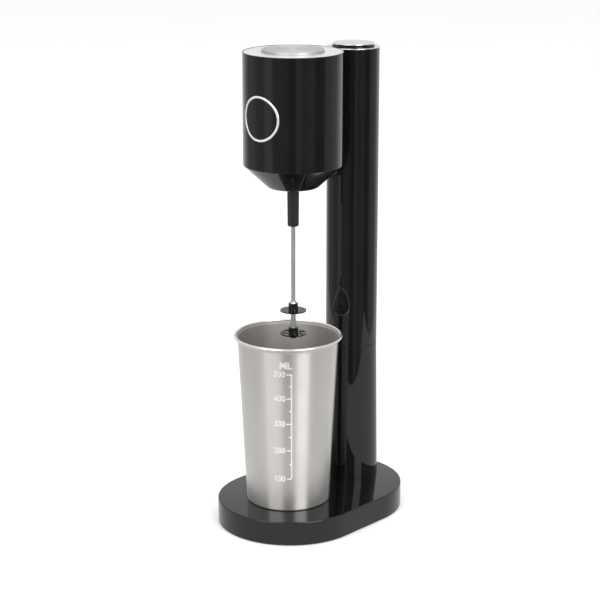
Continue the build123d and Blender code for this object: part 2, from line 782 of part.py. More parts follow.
cap_skirt_t = 2.0
cap_skirt_depth = 4.0
cap_top_z = head_top_z - cap_sink
cap_recess = 1.0

with BuildPart() as top_cap:
    with BuildSketch(at(0, head_y, cap_top_z)):
        Circle(cap_r)
    extrude(amount=-cap_t)
    with BuildSketch(at(0, head_y, cap_top_z - cap_t)):
        Circle(head_bore_r - slip)
        Circle(head_bore_r - slip - cap_skirt_t, mode=Mode.SUBTRACT)
    extrude(amount=-cap_skirt_depth)
    with BuildSketch(at(0, head_y, cap_top_z)):
        Circle(disc_r + slip / 2)
    extrude(amount=-cap_recess, mode=Mode.SUBTRACT)
top_cap.part.label = "top_cap"
export_step(top_cap.part, "parts/top_cap.step")

disc_sheet = 1.0
disc_edge_r = 0.6
with BuildPart() as top_disc:
    with BuildSketch(at(0, head_y, cap_top_z - cap_recess)):
        Circle(disc_r)
    extrude(amount=cap_recess + disc_height)
    fillet(top_disc.edges().sort_by(Axis.Z)[-1], disc_edge_r)
    with BuildSketch(at(0, head_y, cap_top_z - cap_recess)):
        Circle(disc_r - disc_sheet)
    extrude(amount=cap_recess + disc_height - disc_sheet, mode=Mode.SUBTRACT)
top_disc.part.label = "top_disc"
export_step(top_disc.part, "parts/top_disc.step")

# ================================================================ front ring, button and switch board
ring_depth = 9.0
ring_back_y = head_y - head_r + ring_depth
button_depth = 7.0
button_back_y = head_y - head_r + button_depth

with BuildPart() as front_ring:
    with BuildSketch(facing(0, ring_back_y, front_button_z, (0, -1, 0))):
        Circle(ring_outer_r)
        Circle(ring_outer_r - front_ring_w, mode=Mode.SUBTRACT)
    extrude(amount=head_r / 2)
    with BuildSketch(at(0, head_y, head_bottom_z)):
        Circle(head_r + front_ring_proud)
    extrude(amount=head_height, mode=Mode.INTERSECT)
front_ring.part.label = "front_ring"
export_step(front_ring.part, "parts/front_ring.step")

tact_size = 6.0
tact_body_t = 2.2
tact_plunger_t = 1.0
button_post_r = 2.5
tact_front_y = board_front_y - tact_body_t - tact_plunger_t
button_post_y = tact_front_y - front_button_travel - switch_gap

with BuildPart() as front_button:
    with BuildSketch(facing(0, button_back_y, front_button_z, (0, -1, 0))):
        Circle(front_button_r)
    extrude(amount=head_r / 2)
    with BuildSketch(at(0, head_y, head_bottom_z)):
        Circle(head_r)
    extrude(amount=head_height, mode=Mode.INTERSECT)
    with BuildSketch(facing(0, button_post_y, front_button_z, (0, -1, 0))):
        Circle(button_post_r)
    extrude(amount=button_post_y - button_back_y)
front_button.part.label = "front_button"
export_step(front_button.part, "parts/front_button.step")

board_width = 14.0
board_height = 2 * board_post_gap + 2 * boss_r
board_screw_grip = 6.0
board_screw_head_t = 1.4

with BuildPart() as switch_board:
    with BuildSketch(facing(0, board_front_y, front_button_z, (0, 1, 0))):
        Rectangle(board_width, board_height)
        with Locations((0, -board_post_gap), (0, board_post_gap)):
            Circle(screw_pass_r, mode=Mode.SUBTRACT)
    extrude(amount=board_t)
    with BuildSketch(facing(0, board_front_y, front_button_z, (0, -1, 0))):
        Rectangle(tact_size, tact_size)
    extrude(amount=tact_body_t)
    with BuildSketch(facing(0, board_front_y - tact_body_t, front_button_z, (0, -1, 0))):
        Circle(tact_size / 4)
    extrude(amount=tact_plunger_t)
switch_board.part.label = "switch_board"
export_step(switch_board.part, "parts/switch_board.step")

board_screw_planes = [facing(0, board_front_y + board_t, z, (0, 1, 0)) for z in board_heights]
board_screws = screws(board_screw_planes, board_t + board_screw_grip, head_t=board_screw_head_t)
board_screws.part.label = "board_screws"
export_step(board_screws.part, "parts/board_screws.step")

# ================================================================ motor and drive
motor_bottom_z = chassis_top_z
motor_top_z = motor_bottom_z + motor_length
motor_boss_r = 8.0
motor_boss_depth = 4.5
bush_r = 4.5
bush_bottom_z = motor_bottom_z - motor_boss_depth
lower_bush_length = motor_boss_depth + motor_wall
motor_screw_ring_r = 13.0
motor_screw_end_gap = 0.2
motor_screw_grip = motor_wall - motor_screw_end_gap
chassis_screw_grip = 7.0
can_edge_r = 1.0
end_cap_t = 6.0
end_cap_wall = 2.0
end_cap_rim = 1.0
end_cap_boss_r = 7.0
end_cap_boss_height = 4.0
end_cap_top_z = motor_top_z + end_cap_t
upper_bush_bottom_z = end_cap_top_z - end_cap_wall
upper_bush_length = end_cap_wall + end_cap_boss_height
motor_bore_r = motor_r - motor_wall

with BuildPart() as motor_chassis:
    with BuildSketch(at(0, head_y, cone_boss_top_z)):
        Circle(head_bore_r - 2 * slip)
        Circle(motor_boss_r + slip, mode=Mode.SUBTRACT)
        for angle in lug_angles:
            with PolarLocations(lug_ring_r, 1, start_angle=angle):
                Circle(screw_pass_r, mode=Mode.SUBTRACT)
        with PolarLocations(motor_screw_ring_r, 2):
            Circle(screw_pass_r, mode=Mode.SUBTRACT)
    extrude(amount=chassis_t)
motor_chassis.part.label = "motor_chassis"
export_step(motor_chassis.part, "parts/motor_chassis.step")

chassis_screw_planes = [at(*head_point(lug_ring_r, angle, chassis_top_z + lug_t)) for angle in lug_angles]
chassis_screws = screws(chassis_screw_planes, lug_t + chassis_t + chassis_screw_grip)
chassis_screws.part.label = "chassis_screws"
export_step(chassis_screws.part, "parts/chassis_screws.step")

with BuildPart() as motor_can:
    with BuildSketch(at(0, head_y, motor_bottom_z)):
        Circle(motor_r)
    extrude(amount=motor_length)
    fillet(motor_can.edges().sort_by(Axis.Z)[0], can_edge_r)
    with BuildSketch(at(0, head_y, motor_bottom_z + motor_wall)):
        Circle(motor_bore_r)
    extrude(amount=motor_length - motor_wall, mode=Mode.SUBTRACT)
    with BuildSketch(at(0, head_y, motor_bottom_z)):
        Circle(motor_boss_r)
    extrude(amount=-motor_boss_depth)
    with BuildSketch(at(0, head_y, bush_bottom_z)):
        Circle(bush_r)
    extrude(amount=lower_bush_length, mode=Mode.SUBTRACT)
    with BuildSketch(at(0, head_y, motor_bottom_z)):
        with PolarLocations(motor_screw_ring_r, 2):
            Circle(screw_r + thread_gap)
    extrude(amount=motor_wall, mode=Mode.SUBTRACT)
motor_can.part.label = "motor_can"
export_step(motor_can.part, "parts/motor_can.step")

motor_screw_planes = [
    Plane(origin=(x, head_y, cone_boss_top_z), x_dir=(1, 0, 0), z_dir=(0, 0, -1))
    for x in (-motor_screw_ring_r, motor_screw_ring_r)
]
motor_screws = screws(motor_screw_planes, chassis_t + motor_screw_grip)
motor_screws.part.label = "motor_screws"
export_step(motor_screws.part, "parts/motor_screws.step")

with BuildPart() as motor_end_cap:
    with BuildSketch(at(0, head_y, motor_top_z)):
        Circle(motor_r)
    extrude(amount=end_cap_t)
    with BuildSketch(at(0, head_y, motor_top_z)):
        Circle(motor_bore_r - end_cap_rim)
    extrude(amount=end_cap_t - end_cap_wall, mode=Mode.SUBTRACT)
    with BuildSketch(at(0, head_y, upper_bush_bottom_z)):
        Circle(end_cap_boss_r)
    extrude(amount=upper_bush_length)
    with BuildSketch(at(0, head_y, upper_bush_bottom_z)):
        Circle(bush_r)
    extrude(amount=upper_bush_length, mode=Mode.SUBTRACT)
motor_end_cap.part.label = "motor_end_cap"
export_step(motor_end_cap.part, "parts/motor_end_cap.step")

with BuildPart() as shaft_bushes:
    with BuildSketch(at(0, head_y, bush_bottom_z)):
        Circle(bush_r)
        Circle(shaft_r + running, mode=Mode.SUBTRACT)
    extrude(amount=lower_bush_length)
    with BuildSketch(at(0, head_y, upper_bush_bottom_z)):
        Circle(bush_r)
        Circle(shaft_r + running, mode=Mode.SUBTRACT)
    extrude(amount=upper_bush_length)
shaft_bushes.part.label = "shaft_bushes"
export_step(shaft_bushes.part, "parts/shaft_bushes.step")

magnet_t = 2.4
magnet_arc = 130.0
magnet_overhang = 1.0
rotor_air_gap = 0.5
rotor_floor_gap = 7.0
rotor_r = motor_bore_r - magnet_t - rotor_air_gap
rotor_bottom_z = motor_bottom_z + motor_wall + rotor_floor_gap
rotor_length = 22.0
commutator_r = 5.0
commutator_length = 7.0

with BuildPart() as field_magnets:
    with BuildSketch(at(0, head_y, rotor_bottom_z - magnet_overhang)):
        Circle(motor_bore_r)
        Circle(motor_bore_r - magnet_t, mode=Mode.SUBTRACT)
        Rectangle(2 * motor_r, 2 * motor_r * sin(radians(90 - magnet_arc / 2)), mode=Mode.SUBTRACT)
    extrude(amount=rotor_length + 2 * magnet_overhang)
field_magnets.part.label = "field_magnets"
export_step(field_magnets.part, "parts/field_magnets.step")

slot_count = 5
slot_width = 3.0
rotor_hub_r = 8.5
slot_depth = rotor_r - rotor_hub_r
with BuildPart() as rotor_core:
    with BuildSketch(at(0, head_y, rotor_bottom_z)):
        Circle(rotor_r)
        with PolarLocations(rotor_r - slot_depth / 2, slot_count):
            Rectangle(slot_depth + overcut, slot_width, mode=Mode.SUBTRACT)
        Circle(shaft_r, mode=Mode.SUBTRACT)
    extrude(amount=rotor_length)
rotor_core.part.label = "rotor_core"
export_step(rotor_core.part, "parts/rotor_core.step")

with BuildPart() as commutator:
    with BuildSketch(at(0, head_y, rotor_bottom_z + rotor_length)):
        Circle(commutator_r)
        Circle(shaft_r, mode=Mode.SUBTRACT)
    extrude(amount=commutator_length)
commutator.part.label = "commutator"
export_step(commutator.part, "parts/commutator.step")

socket_web_t = 3.0
rod_end_gap = 0.5
shaft_end_gap = 0.5
socket_chamfer = 0.5
socket_chamfer_height = 1.0
shaft_bottom_z = socket_bottom_z + socket_grip + socket_web_t
with BuildPart() as motor_shaft:
    with BuildSketch(at(0, head_y, shaft_bottom_z)):
        Circle(shaft_r)
    extrude(amount=end_cap_top_z + end_cap_boss_height - shaft_end_gap - shaft_bottom_z)
motor_shaft.part.label = "motor_shaft"
export_step(motor_shaft.part, "parts/motor_shaft.step")

with BuildPart() as drive_socket:
    with BuildSketch(facing(0, head_y, 0, (0, -1, 0))):
        with BuildLine():
            Polyline(
                (rod_r + running, socket_bottom_z),
                (socket_bottom_r - socket_chamfer, socket_bottom_z),
                (socket_bottom_r, socket_bottom_z + socket_chamfer_height),
                (socket_top_r, cone_bottom_z),
                (socket_top_r, socket_top_z),
                (shaft_r, socket_top_z),
                (shaft_r, shaft_bottom_z),
                (0, shaft_bottom_z),
                (0, socket_bottom_z + socket_grip + rod_end_gap),
                (rod_r + running, socket_bottom_z + socket_grip + rod_end_gap),
                close=True,
            )
        make_face()
    revolve(axis=Axis((0, head_y, 0), (0, 0, 1)))
drive_socket.part.label = "drive_socket"
export_step(drive_socket.part, "parts/drive_socket.step")

lead_wall_gap = 2.0
lead_standoff = 8.0
lead_turn_r = 4.0
motor_lead_end_z = motor_top_z + end_cap_t / 2
with BuildPart() as motor_lead:
    with BuildLine() as motor_path:
        FilletPolyline(
            (0, column_y - switch_depth / 2, neck_lead_z),
            (0, head_y + head_bore_r - lead_wall_gap, neck_lead_z),
            (0, head_y + motor_r + lead_standoff, motor_lead_end_z),
            (0, head_y + motor_r, motor_lead_end_z),
            radius=lead_turn_r,
        )
    with BuildSketch(facing(0, column_y - switch_depth / 2, neck_lead_z, (0, -1, 0))):
        Circle(lead_r)
    sweep(path=motor_path.line)
motor_lead.part.label = "motor_lead"
export_step(motor_lead.part, "parts/motor_lead.step")

# ================================================================ whisk
tip_depth = 3.6
tip_edge_r = 1.2
rod_into_tip = 1.0
rod_chamfer = 0.4
lower_disc_z = whisk_tip_z + tip_depth
upper_disc_z = lower_disc_z + whisk_disc_gap
hub_wall_top = whisk_disc_t + whisk_hub_height
rod_top_z = socket_bottom_z + socket_grip

with BuildPart() as whisk_rod:
    with BuildSketch(at(0, head_y, lower_disc_z - rod_into_tip)):
        Circle(rod_r)
    extrude(amount=rod_top_z - lower_disc_z + rod_into_tip)
    chamfer(whisk_rod.edges().sort_by(Axis.Z)[-1], rod_chamfer)
whisk_rod.part.label = "whisk_rod"
export_step(whisk_rod.part, "parts/whisk_rod.step")

disc_hole_count = 16
disc_hole_r = 0.7
disc_hole_ring_r = whisk_disc_r * 0.75
with BuildPart() as upper_disc:
    with BuildSketch(at(0, head_y, upper_disc_z)):
        Circle(whisk_disc_r)
        with PolarLocations(disc_hole_ring_r, disc_hole_count):
            Circle(disc_hole_r, mode=Mode.SUBTRACT)
    extrude(amount=whisk_disc_t)
    with BuildSketch(at(0, head_y, upper_disc_z)):
        Circle(whisk_hub_r)
    extrude(amount=hub_wall_top)
    with BuildSketch(at(0, head_y, upper_disc_z)):
        Circle(rod_r)
    extrude(amount=hub_wall_top, mode=Mode.SUBTRACT)
upper_disc.part.label = "upper_disc"
export_step(upper_disc.part, "parts/upper_disc.step")

disc_window_count = 6
disc_window_width = 4.0
disc_window_length = whisk_disc_r - whisk_hub_r - 2.4
lower_hub_top = hub_wall_top - 1.0
with BuildPart() as lower_disc:
    with BuildSketch(at(0, head_y, lower_disc_z)):
        Circle(whisk_disc_r)
        with PolarLocations((whisk_hub_r + whisk_disc_r) / 2, disc_window_count):
            Rectangle(disc_window_length, disc_window_width, mode=Mode.SUBTRACT)
    extrude(amount=whisk_disc_t)
    with BuildSketch(at(0, head_y, lower_disc_z)):
        Circle(whisk_hub_r)
    extrude(amount=lower_hub_top)
    # rounded tip below the disc, closed over the end of the rod
    with BuildSketch(at(0, head_y, whisk_tip_z)):
        Circle(tip_r)
    extrude(amount=lower_disc_z - whisk_tip_z)
    fillet(lower_disc.edges().sort_by(Axis.Z)[0], tip_edge_r)
    with BuildSketch(at(0, head_y, lower_disc_z - rod_into_tip)):
        Circle(rod_r)
    extrude(amount=hub_wall_top + rod_into_tip, mode=Mode.SUBTRACT)
lower_disc.part.label = "lower_disc"
export_step(lower_disc.part, "parts/lower_disc.step")

sleeve_bottom_z = lower_disc_z + lower_hub_top
sleeve_bottom_wall = 0.55
sleeve_top_wall = 0.15
with BuildPart() as spacer_sleeve:
    with BuildSketch(facing(0, head_y, 0, (0, -1, 0))):
        with BuildLine():
            Polyline(
                (rod_r, sleeve_bottom_z),
                (rod_r + sleeve_bottom_wall, sleeve_bottom_z),
                (rod_r + sleeve_top_wall, upper_disc_z),
                (rod_r, upper_disc_z),
                close=True,
            )
        make_face()
    revolve(axis=Axis((0, head_y, 0), (0, 0, 1)))
spacer_sleeve.part.label = "spacer_sleeve"
export_step(spacer_sleeve.part, "parts/spacer_sleeve.step")

collar_bottom_z = upper_disc_z + hub_wall_top
collar_bottom_wall = 1.2
collar_top_wall = 0.4
collar_rise = 1.6
with BuildPart() as rod_collar:
    with BuildSketch(facing(0, head_y, 0, (0, -1, 0))):
        with BuildLine():
            Polyline(
                (rod_r, collar_bottom_z),
                (rod_r + collar_bottom_wall, collar_bottom_z),
                (rod_r + collar_top_wall, collar_bottom_z + collar_rise),
                (rod_r, collar_bottom_z + collar_rise),
                close=True,
            )
        make_face()
    revolve(axis=Axis((0, head_y, 0), (0, 0, 1)))
rod_collar.part.label = "rod_collar"
export_step(rod_collar.part, "parts/rod_collar.step")

# ================================================================ cup
cup_rim_z = base_top_z + cup_height
bead_z = cup_rim_z - cup_bead_r
bead_ring_r = cup_rim_r - cup_bead_r
cup_foot_fillet = 1.5
cup_floor_raise = 1.2
cup_shoulder_z = bead_z - 3.0
cup_step_r = cup_floor_r - 5.0
cup_step_w = 1.0

with BuildPart() as mixing_cup:
    with BuildSketch(facing(0, cup_y, 0, (0, -1, 0))) as cup_section:
        with BuildLine():
            Polyline(
                (0, base_top_z + cup_floor_raise),
                (cup_step_r - cup_step_w, base_top_z + cup_floor_raise),
                (cup_step_r, base_top_z),
                (cup_floor_r, base_top_z),
                (cup_mouth_r, cup_shoulder_z),
                (bead_ring_r, bead_z),
                (bead_ring_r - cup_wall, bead_z),
                (cup_mouth_r - cup_wall, cup_shoulder_z),
                (cup_floor_r - cup_wall, base_top_z + cup_wall),
                (cup_step_r + cup_wall / 2, base_top_z + cup_wall),
                (cup_step_r - cup_step_w + cup_wall / 2, base_top_z + cup_floor_raise + cup_wall),
                (0, base_top_z + cup_floor_raise + cup_wall),
                close=True,
            )
        make_face()
        outer_corner = cup_section.vertices().sort_by_distance((cup_floor_r, base_top_z))[0]
        fillet(outer_corner, cup_foot_fillet)
    revolve(axis=Axis((0, cup_y, 0), (0, 0, 1)))
    # rolled bead round the mouth
    with BuildSketch(facing(0, cup_y, 0, (0, -1, 0))):
        with Locations((bead_ring_r, bead_z)):
            Circle(cup_bead_r)
    revolve(axis=Axis((0, cup_y, 0), (0, 0, 1)))
mixing_cup.part.label = "mixing_cup"
export_step(mixing_cup.part, "parts/mixing_cup.step")
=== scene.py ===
import json
import math
import bmesh
import bpy
from mathutils import Matrix, Vector


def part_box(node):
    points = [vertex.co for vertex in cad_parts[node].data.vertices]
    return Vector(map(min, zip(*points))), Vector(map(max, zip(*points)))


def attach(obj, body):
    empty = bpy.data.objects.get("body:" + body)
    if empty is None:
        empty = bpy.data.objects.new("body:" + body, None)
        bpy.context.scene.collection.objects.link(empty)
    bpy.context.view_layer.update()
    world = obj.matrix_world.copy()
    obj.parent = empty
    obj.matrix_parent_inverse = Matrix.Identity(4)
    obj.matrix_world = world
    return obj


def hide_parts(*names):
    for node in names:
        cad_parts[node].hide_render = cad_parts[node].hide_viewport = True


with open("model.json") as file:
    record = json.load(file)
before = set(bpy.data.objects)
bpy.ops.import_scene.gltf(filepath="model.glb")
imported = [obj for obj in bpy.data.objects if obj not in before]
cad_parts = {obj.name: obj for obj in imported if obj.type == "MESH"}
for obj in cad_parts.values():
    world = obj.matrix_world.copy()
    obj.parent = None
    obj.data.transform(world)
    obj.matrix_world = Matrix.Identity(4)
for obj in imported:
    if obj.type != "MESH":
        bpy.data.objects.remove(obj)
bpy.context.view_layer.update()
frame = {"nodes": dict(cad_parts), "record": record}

MM = 0.001
MILLILITRE = 1e-6
SEGMENTS = 192
scene = bpy.context.scene
scene.view_settings.view_transform = "Standard"


# ---------------------------------------------------------------- camera
CAMERA_PLACE = (0.96197, -1.0862, 0.58842)
CAMERA_TURN = math.radians(41.88)
CAMERA_DOWN = math.radians(15.54)
camera = bpy.data.objects.new("camera", bpy.data.cameras.new("camera"))
scene.collection.objects.link(camera)
camera.location = CAMERA_PLACE
camera.rotation_euler = (math.pi / 2 - CAMERA_DOWN, 0, CAMERA_TURN)
camera.data.lens = 109.5
camera.data.sensor_width = 36.0
camera.data.clip_end = 50.0
scene.camera = camera


# ---------------------------------------------------------------- sizes read from the frame
def low(node):
    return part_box(node)[0]


def high(node):
    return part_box(node)[1]


def centre(node):
    return [(a + b) / 2 for a, b in zip(low(node), high(node))]


def radius(node):
    return (high(node)[0] - low(node)[0]) / 2


COLUMN = centre("upper_column")[:2]
HEAD = centre("head_shell")[:2]
CUP = centre("mixing_cup")[:2]
HEAD_R = radius("head_shell")


# ---------------------------------------------------------------- materials
class Nodes:
    """A material's node tree with short calls for the nodes that the finishes share."""

    def __init__(self, name):
        self.material = bpy.data.materials.new(name)
        self.material.use_nodes = True
        self.tree = self.material.node_tree
        self.shader = self.tree.nodes["Principled BSDF"]

    def link(self, source, target):
        self.tree.links.new(source, target)

    def put(self, value, socket):
        if isinstance(value, bpy.types.NodeSocket):
            self.link(value, socket)
        else:
            socket.default_value = value

    def math(self, operation, a, b=0.0):
        node = self.tree.nodes.new("ShaderNodeMath")
        node.operation = operation
        self.put(a, node.inputs[0])
        self.put(b, node.inputs[1])
        return node.outputs[0]

    def place(self):
        """Object coordinates, in metres from the piece's own origin."""
        return self.tree.nodes.new("ShaderNodeTexCoord").outputs["Object"]

    def scaled(self, factors):
        node = self.tree.nodes.new("ShaderNodeVectorMath")
        node.operation = "MULTIPLY"
        self.link(self.place(), node.inputs[0])
        node.inputs[1].default_value = factors
        return node.outputs[0]

    def round_z(self, around, outward, upward):
        """Coordinates that run round the piece's own Z axis, outward from it, and up it."""
        split = self.tree.nodes.new("ShaderNodeSeparateXYZ")
        self.link(self.place(), split.inputs[0])
        x, y, z = split.outputs
        turn = self.math("ARCTAN2", y, x)
        reach = self.math("SQRT", self.math("ADD", self.math("MULTIPLY", x, x), self.math("MULTIPLY", y, y)))
        join = self.tree.nodes.new("ShaderNodeCombineXYZ")
        self.link(self.math("MULTIPLY", turn, around), join.inputs[0])
        self.link(self.math("MULTIPLY", reach, outward), join.inputs[1])
        self.link(self.math("MULTIPLY", z, upward), join.inputs[2])
        return join.outputs[0]

    def noise(self, vector, scale=1.0, detail=3.0):
        node = self.tree.nodes.new("ShaderNodeTexNoise")
        node.inputs["Scale"].default_value = scale
        node.inputs["Detail"].default_value = detail
        self.link(vector, node.inputs["Vector"])
        return node.outputs[0]

    def spread(self, value, lowest, highest, narrow=0.25):
        """Maps the middle of a noise to a range."""
        node = self.tree.nodes.new("ShaderNodeMapRange")
        self.link(value, node.inputs["Value"])
        node.inputs["From Min"].default_value = narrow
        node.inputs["From Max"].default_value = 1 - narrow
        node.inputs["To Min"].default_value = lowest
        node.inputs["To Max"].default_value = highest
        return node.outputs[0]

    def shade(self, value, dark, light):
        node = self.tree.nodes.new("ShaderNodeMix")
        node.data_type = "RGBA"
        self.link(value, node.inputs["Factor"])
        node.inputs["A"].default_value = (*dark, 1)
        node.inputs["B"].default_value = (*light, 1)
        return node.outputs["Result"]

    def bump(self, value, depth, strength=1.0):
        node = self.tree.nodes.new("ShaderNodeBump")
        node.inputs["Distance"].default_value = depth
        node.inputs["Strength"].default_value = strength
        self.link(value, node.inputs["Height"])
        self.link(node.outputs[0], self.shader.inputs["Normal"])

    def set(self, **values):
        for key, value in values.items():
            self.put(value, self.shader.inputs[key.replace("_", " ").title()])


def tinted(colour, factor):
    return tuple(min(1.0, c * factor) for c in colour)


def moulded(name, colour, roughness, grain=900.0, depth=2e-6, vary=0.25, metallic=0.0):
    """Moulded or painted surface: faint grain, uneven gloss and slight mottling of its colour."""
    n = Nodes(name)
    fine = n.noise(n.scaled((grain, grain, grain)), detail=4.0)
    broad = n.noise(n.scaled((35, 35, 35)), detail=2.0)
    n.set(
        Base_Color=n.shade(n.spread(broad, 0, 1), tinted(colour, 1 - vary / 2), tinted(colour, 1 + vary / 2)),
        Roughness=n.spread(fine, roughness * (1 - vary), roughness * (1 + vary)),
        Metallic=metallic,
    )
    n.bump(fine, depth)
    return n.material


def turned(name, colour, roughness, rings=9000.0, along="z", depth=1e-6, anisotropic=0.6, vary=0.05):
    """Metal with fine lines round its own Z axis, so that lights draw out across the lines."""
    n = Nodes(name)
    if along == "z":
        lines = n.noise(n.round_z(1.5, 0, rings), detail=3.0)
    else:
        lines = n.noise(n.round_z(1.5, rings, 0), detail=3.0)
    broad = n.noise(n.scaled((28, 28, 28)), detail=3.0)
    n.set(
        Base_Color=n.shade(n.spread(lines, 0, 1), tinted(colour, 1 - vary), tinted(colour, 1 + vary)),
        Roughness=n.spread(broad, roughness * 0.9, roughness * 1.15),
        Metallic=1.0,
        Anisotropic=anisotropic,
        Anisotropic_Rotation=0.25,
    )
    tangent = n.tree.nodes.new("ShaderNodeTangent")
    tangent.direction_type = "RADIAL"
    tangent.axis = "Z"
    n.link(tangent.outputs[0], n.shader.inputs["Tangent"])
    n.bump(lines, depth)
    return n.material


def plated(name, colour=(0.86, 0.86, 0.87), roughness=0.07):
    """Polished plating with a trace of wipe marks."""
    n = Nodes(name)
    smear = n.noise(n.scaled((160, 160, 60)), detail=5.0)
    n.set(
        Base_Color=n.shade(n.spread(smear, 0, 1), tinted(colour, 0.95), tinted(colour, 1.03)),
        Roughness=n.spread(smear, roughness * 0.6, roughness * 1.5),
        Metallic=1.0,
    )
    n.bump(smear, 1.5e-6)
    return n.material


GLOSS = moulded("gloss_black", (0.0042, 0.0042, 0.0046), 0.035, grain=320.0, depth=1.2e-6, vary=0.4)
SATIN_BLACK = moulded("satin_black", (0.010, 0.010, 0.010), 0.30, grain=1500.0, depth=8e-6)
DISC_BLACK = moulded("disc_black", (0.005, 0.005, 0.005), 0.13, grain=1500.0, depth=2e-6)
MATT_BLACK = moulded("matt_black", (0.02, 0.02, 0.02), 0.55, grain=1400.0, depth=2e-5)
RUBBER = moulded("rubber", (0.018, 0.018, 0.018), 0.75, grain=1800.0, depth=3e-5)
SILVER = moulded("silver_paint", (0.74, 0.74, 0.75), 0.30, grain=2600.0, depth=3e-6, vary=0.08, metallic=0.6)
BRIGHT_RING = moulded(
    "bright_ring", (0.86, 0.86, 0.87), 0.14, grain=900.0, depth=2e-6, vary=0.06, metallic=0.65
)
CHROME = plated("chrome")
SCREW = plated("screw_plating", (0.55, 0.56, 0.58), 0.25)
SPUN = turned("spun_metal", (0.53, 0.52, 0.51), 0.55, rings=5200.0, along="r", anisotropic=0.35)
STEEL = turned("brushed_steel", (0.69, 0.67, 0.64), 0.34, rings=5200.0, anisotropic=0.95)
# Inside of the cup: a rougher satin finish, with a colour darker than the outside wall, which is painted
# shade of the cup's hollow.
SHADED_STEEL_INSIDE = turned("satin_steel_painted_shade", (0.455, 0.435, 0.41), 0.55, rings=5200.0, anisotropic=0.4)
# Rolled rim: a smoother polish, with a colour lighter than the wall, which is a painted highlight along the
# rim.
LIT_STEEL_RIM = turned("rim_steel_painted_highlight", (0.86, 0.85, 0.83), 0.24, rings=5200.0, anisotropic=0.0)
# Scale marks and letters: a colour lighter than the wall, a painted highlight standing in for the light
# caught by the raised marks.
LIT_STEEL_MARKS = moulded(
    "pressed_marks_painted_highlight", (0.755, 0.74, 0.715), 0.32, grain=2600.0, depth=2e-6, vary=0.08, metallic=0.55
)
ROD = turned("rod_steel", (0.62, 0.62, 0.61), 0.30, rings=6000.0, anisotropic=0.4)
SLEEVE = turned("sleeve_steel", (0.60, 0.60, 0.57), 0.30, rings=6000.0, anisotropic=0.3)


# ---------------------------------------------------------------- mesh tools
def add_object(name, mesh, material, place=(0, 0, 0), sharp=35.0):
    mesh.materials.append(material)
    mesh.shade_smooth()
    mesh.set_sharp_from_angle(angle=math.radians(sharp))
    made = bpy.data.objects.new(name, mesh)
    made.location = place
    scene.collection.objects.link(made)
    return made


def finished(bm, name):
    """The mesh made of a closed bmesh, with its faces turned outward."""
    bmesh.ops.recalc_face_normals(bm, faces=bm.faces)
    mesh = bpy.data.meshes.new(name)
    bm.to_mesh(mesh)
    bm.free()
    return mesh


def band(bm, a, b):
    """Faces between two closed rings with the same number of points."""
    for k in range(len(a)):
        m = (k + 1) % len(a)
        bm.faces.new((a[k], a[m], b[m], b[k]))


def rounded(points, radii, steps=8):
    """An outline with arcs of the given radii in place of corners; a radius of 0 keeps the corner."""
    out = []
    count = len(points)
    for i, (corner, r) in enumerate(zip(points, radii)):
        corner = Vector(corner)
        if r <= 0:
            out.append(corner)
            continue
        before = (Vector(points[i - 1]) - corner).normalized()
        after = (Vector(points[(i + 1) % count]) - corner).normalized()
        half = before.angle(after) / 2
        reach = r / math.tan(half)
        middle = corner + (before + after).normalized() * (r / math.sin(half))
        start = corner + before * reach - middle
        sweep = math.pi - 2 * half
        turn = 1 if before.x * after.y - before.y * after.x < 0 else -1
        for k in range(steps + 1):
            a = turn * sweep * k / steps
            out.append(middle + Matrix.Rotation(a, 2) @ start)
    return out


ON_AXIS = 1e-7


def lathe(name, outline, centre_xy, material, segments=SEGMENTS, sharp=35.0):
    """A closed solid from a closed outline of (radius, z) points turned about a vertical axis."""
    bm = bmesh.new()
    rings = []
    for r, z in outline:
        if r < ON_AXIS:
            rings.append([bm.verts.new((0, 0, z))] * segments)
            continue
        turns = [2 * math.pi * k / segments for k in range(segments)]
        rings.append([bm.verts.new((r * math.cos(a), r * math.sin(a), z)) for a in turns])
    for i, ring in enumerate(rings):
        following = rings[(i + 1) % len(rings)]
        if ring[0] is ring[1] and following[0] is following[1]:
            continue
        for k in range(segments):
            m = (k + 1) % segments
            corners = []
            for v in (ring[k], ring[m], following[m], following[k]):
                if v not in corners:
                    corners.append(v)
            bm.faces.new(corners)
    return add_object(name, finished(bm, name), material, (*centre_xy, 0), sharp)


def cut(piece, cutter, sharp=35.0):
    """Takes the cutter's shape out of a piece, and removes the cutter."""
    modifier = piece.modifiers.new("cut", "BOOLEAN")
    modifier.object = cutter
    modifier.operation = "DIFFERENCE"
    modifier.solver = "EXACT"
    bpy.context.view_layer.update()
    evaluated = piece.evaluated_get(bpy.context.evaluated_depsgraph_get())
    mesh = bpy.data.meshes.new_from_object(evaluated)
    piece.modifiers.clear()
    piece.data = mesh
    mesh.shade_smooth()
    mesh.set_sharp_from_angle(angle=math.radians(sharp))
    bpy.data.objects.remove(cutter)


def drill(start, direction, r, length, segments=96):
    """A cylinder to cut with, from a start point along a direction."""
    bm = bmesh.new()
    bmesh.ops.create_cone(bm, cap_ends=True, segments=segments, radius1=r, radius2=r, depth=length)
    bmesh.ops.translate(bm, verts=bm.verts, vec=(0, 0, length / 2))
    mesh = bpy.data.meshes.new("drill")
    bm.to_mesh(mesh)
    bm.free()
    made = bpy.data.objects.new("drill", mesh)
    scene.collection.objects.link(made)
    turn = Vector(direction).to_track_quat("Z", "Y").to_matrix().to_4x4()
    made.matrix_world = Matrix.Translation(start) @ turn
    return made


def stand_for(piece, body, *nodes):
    """A detailed piece that takes the place of CAD nodes and moves with their body."""
    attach(piece, body)
    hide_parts(*nodes)


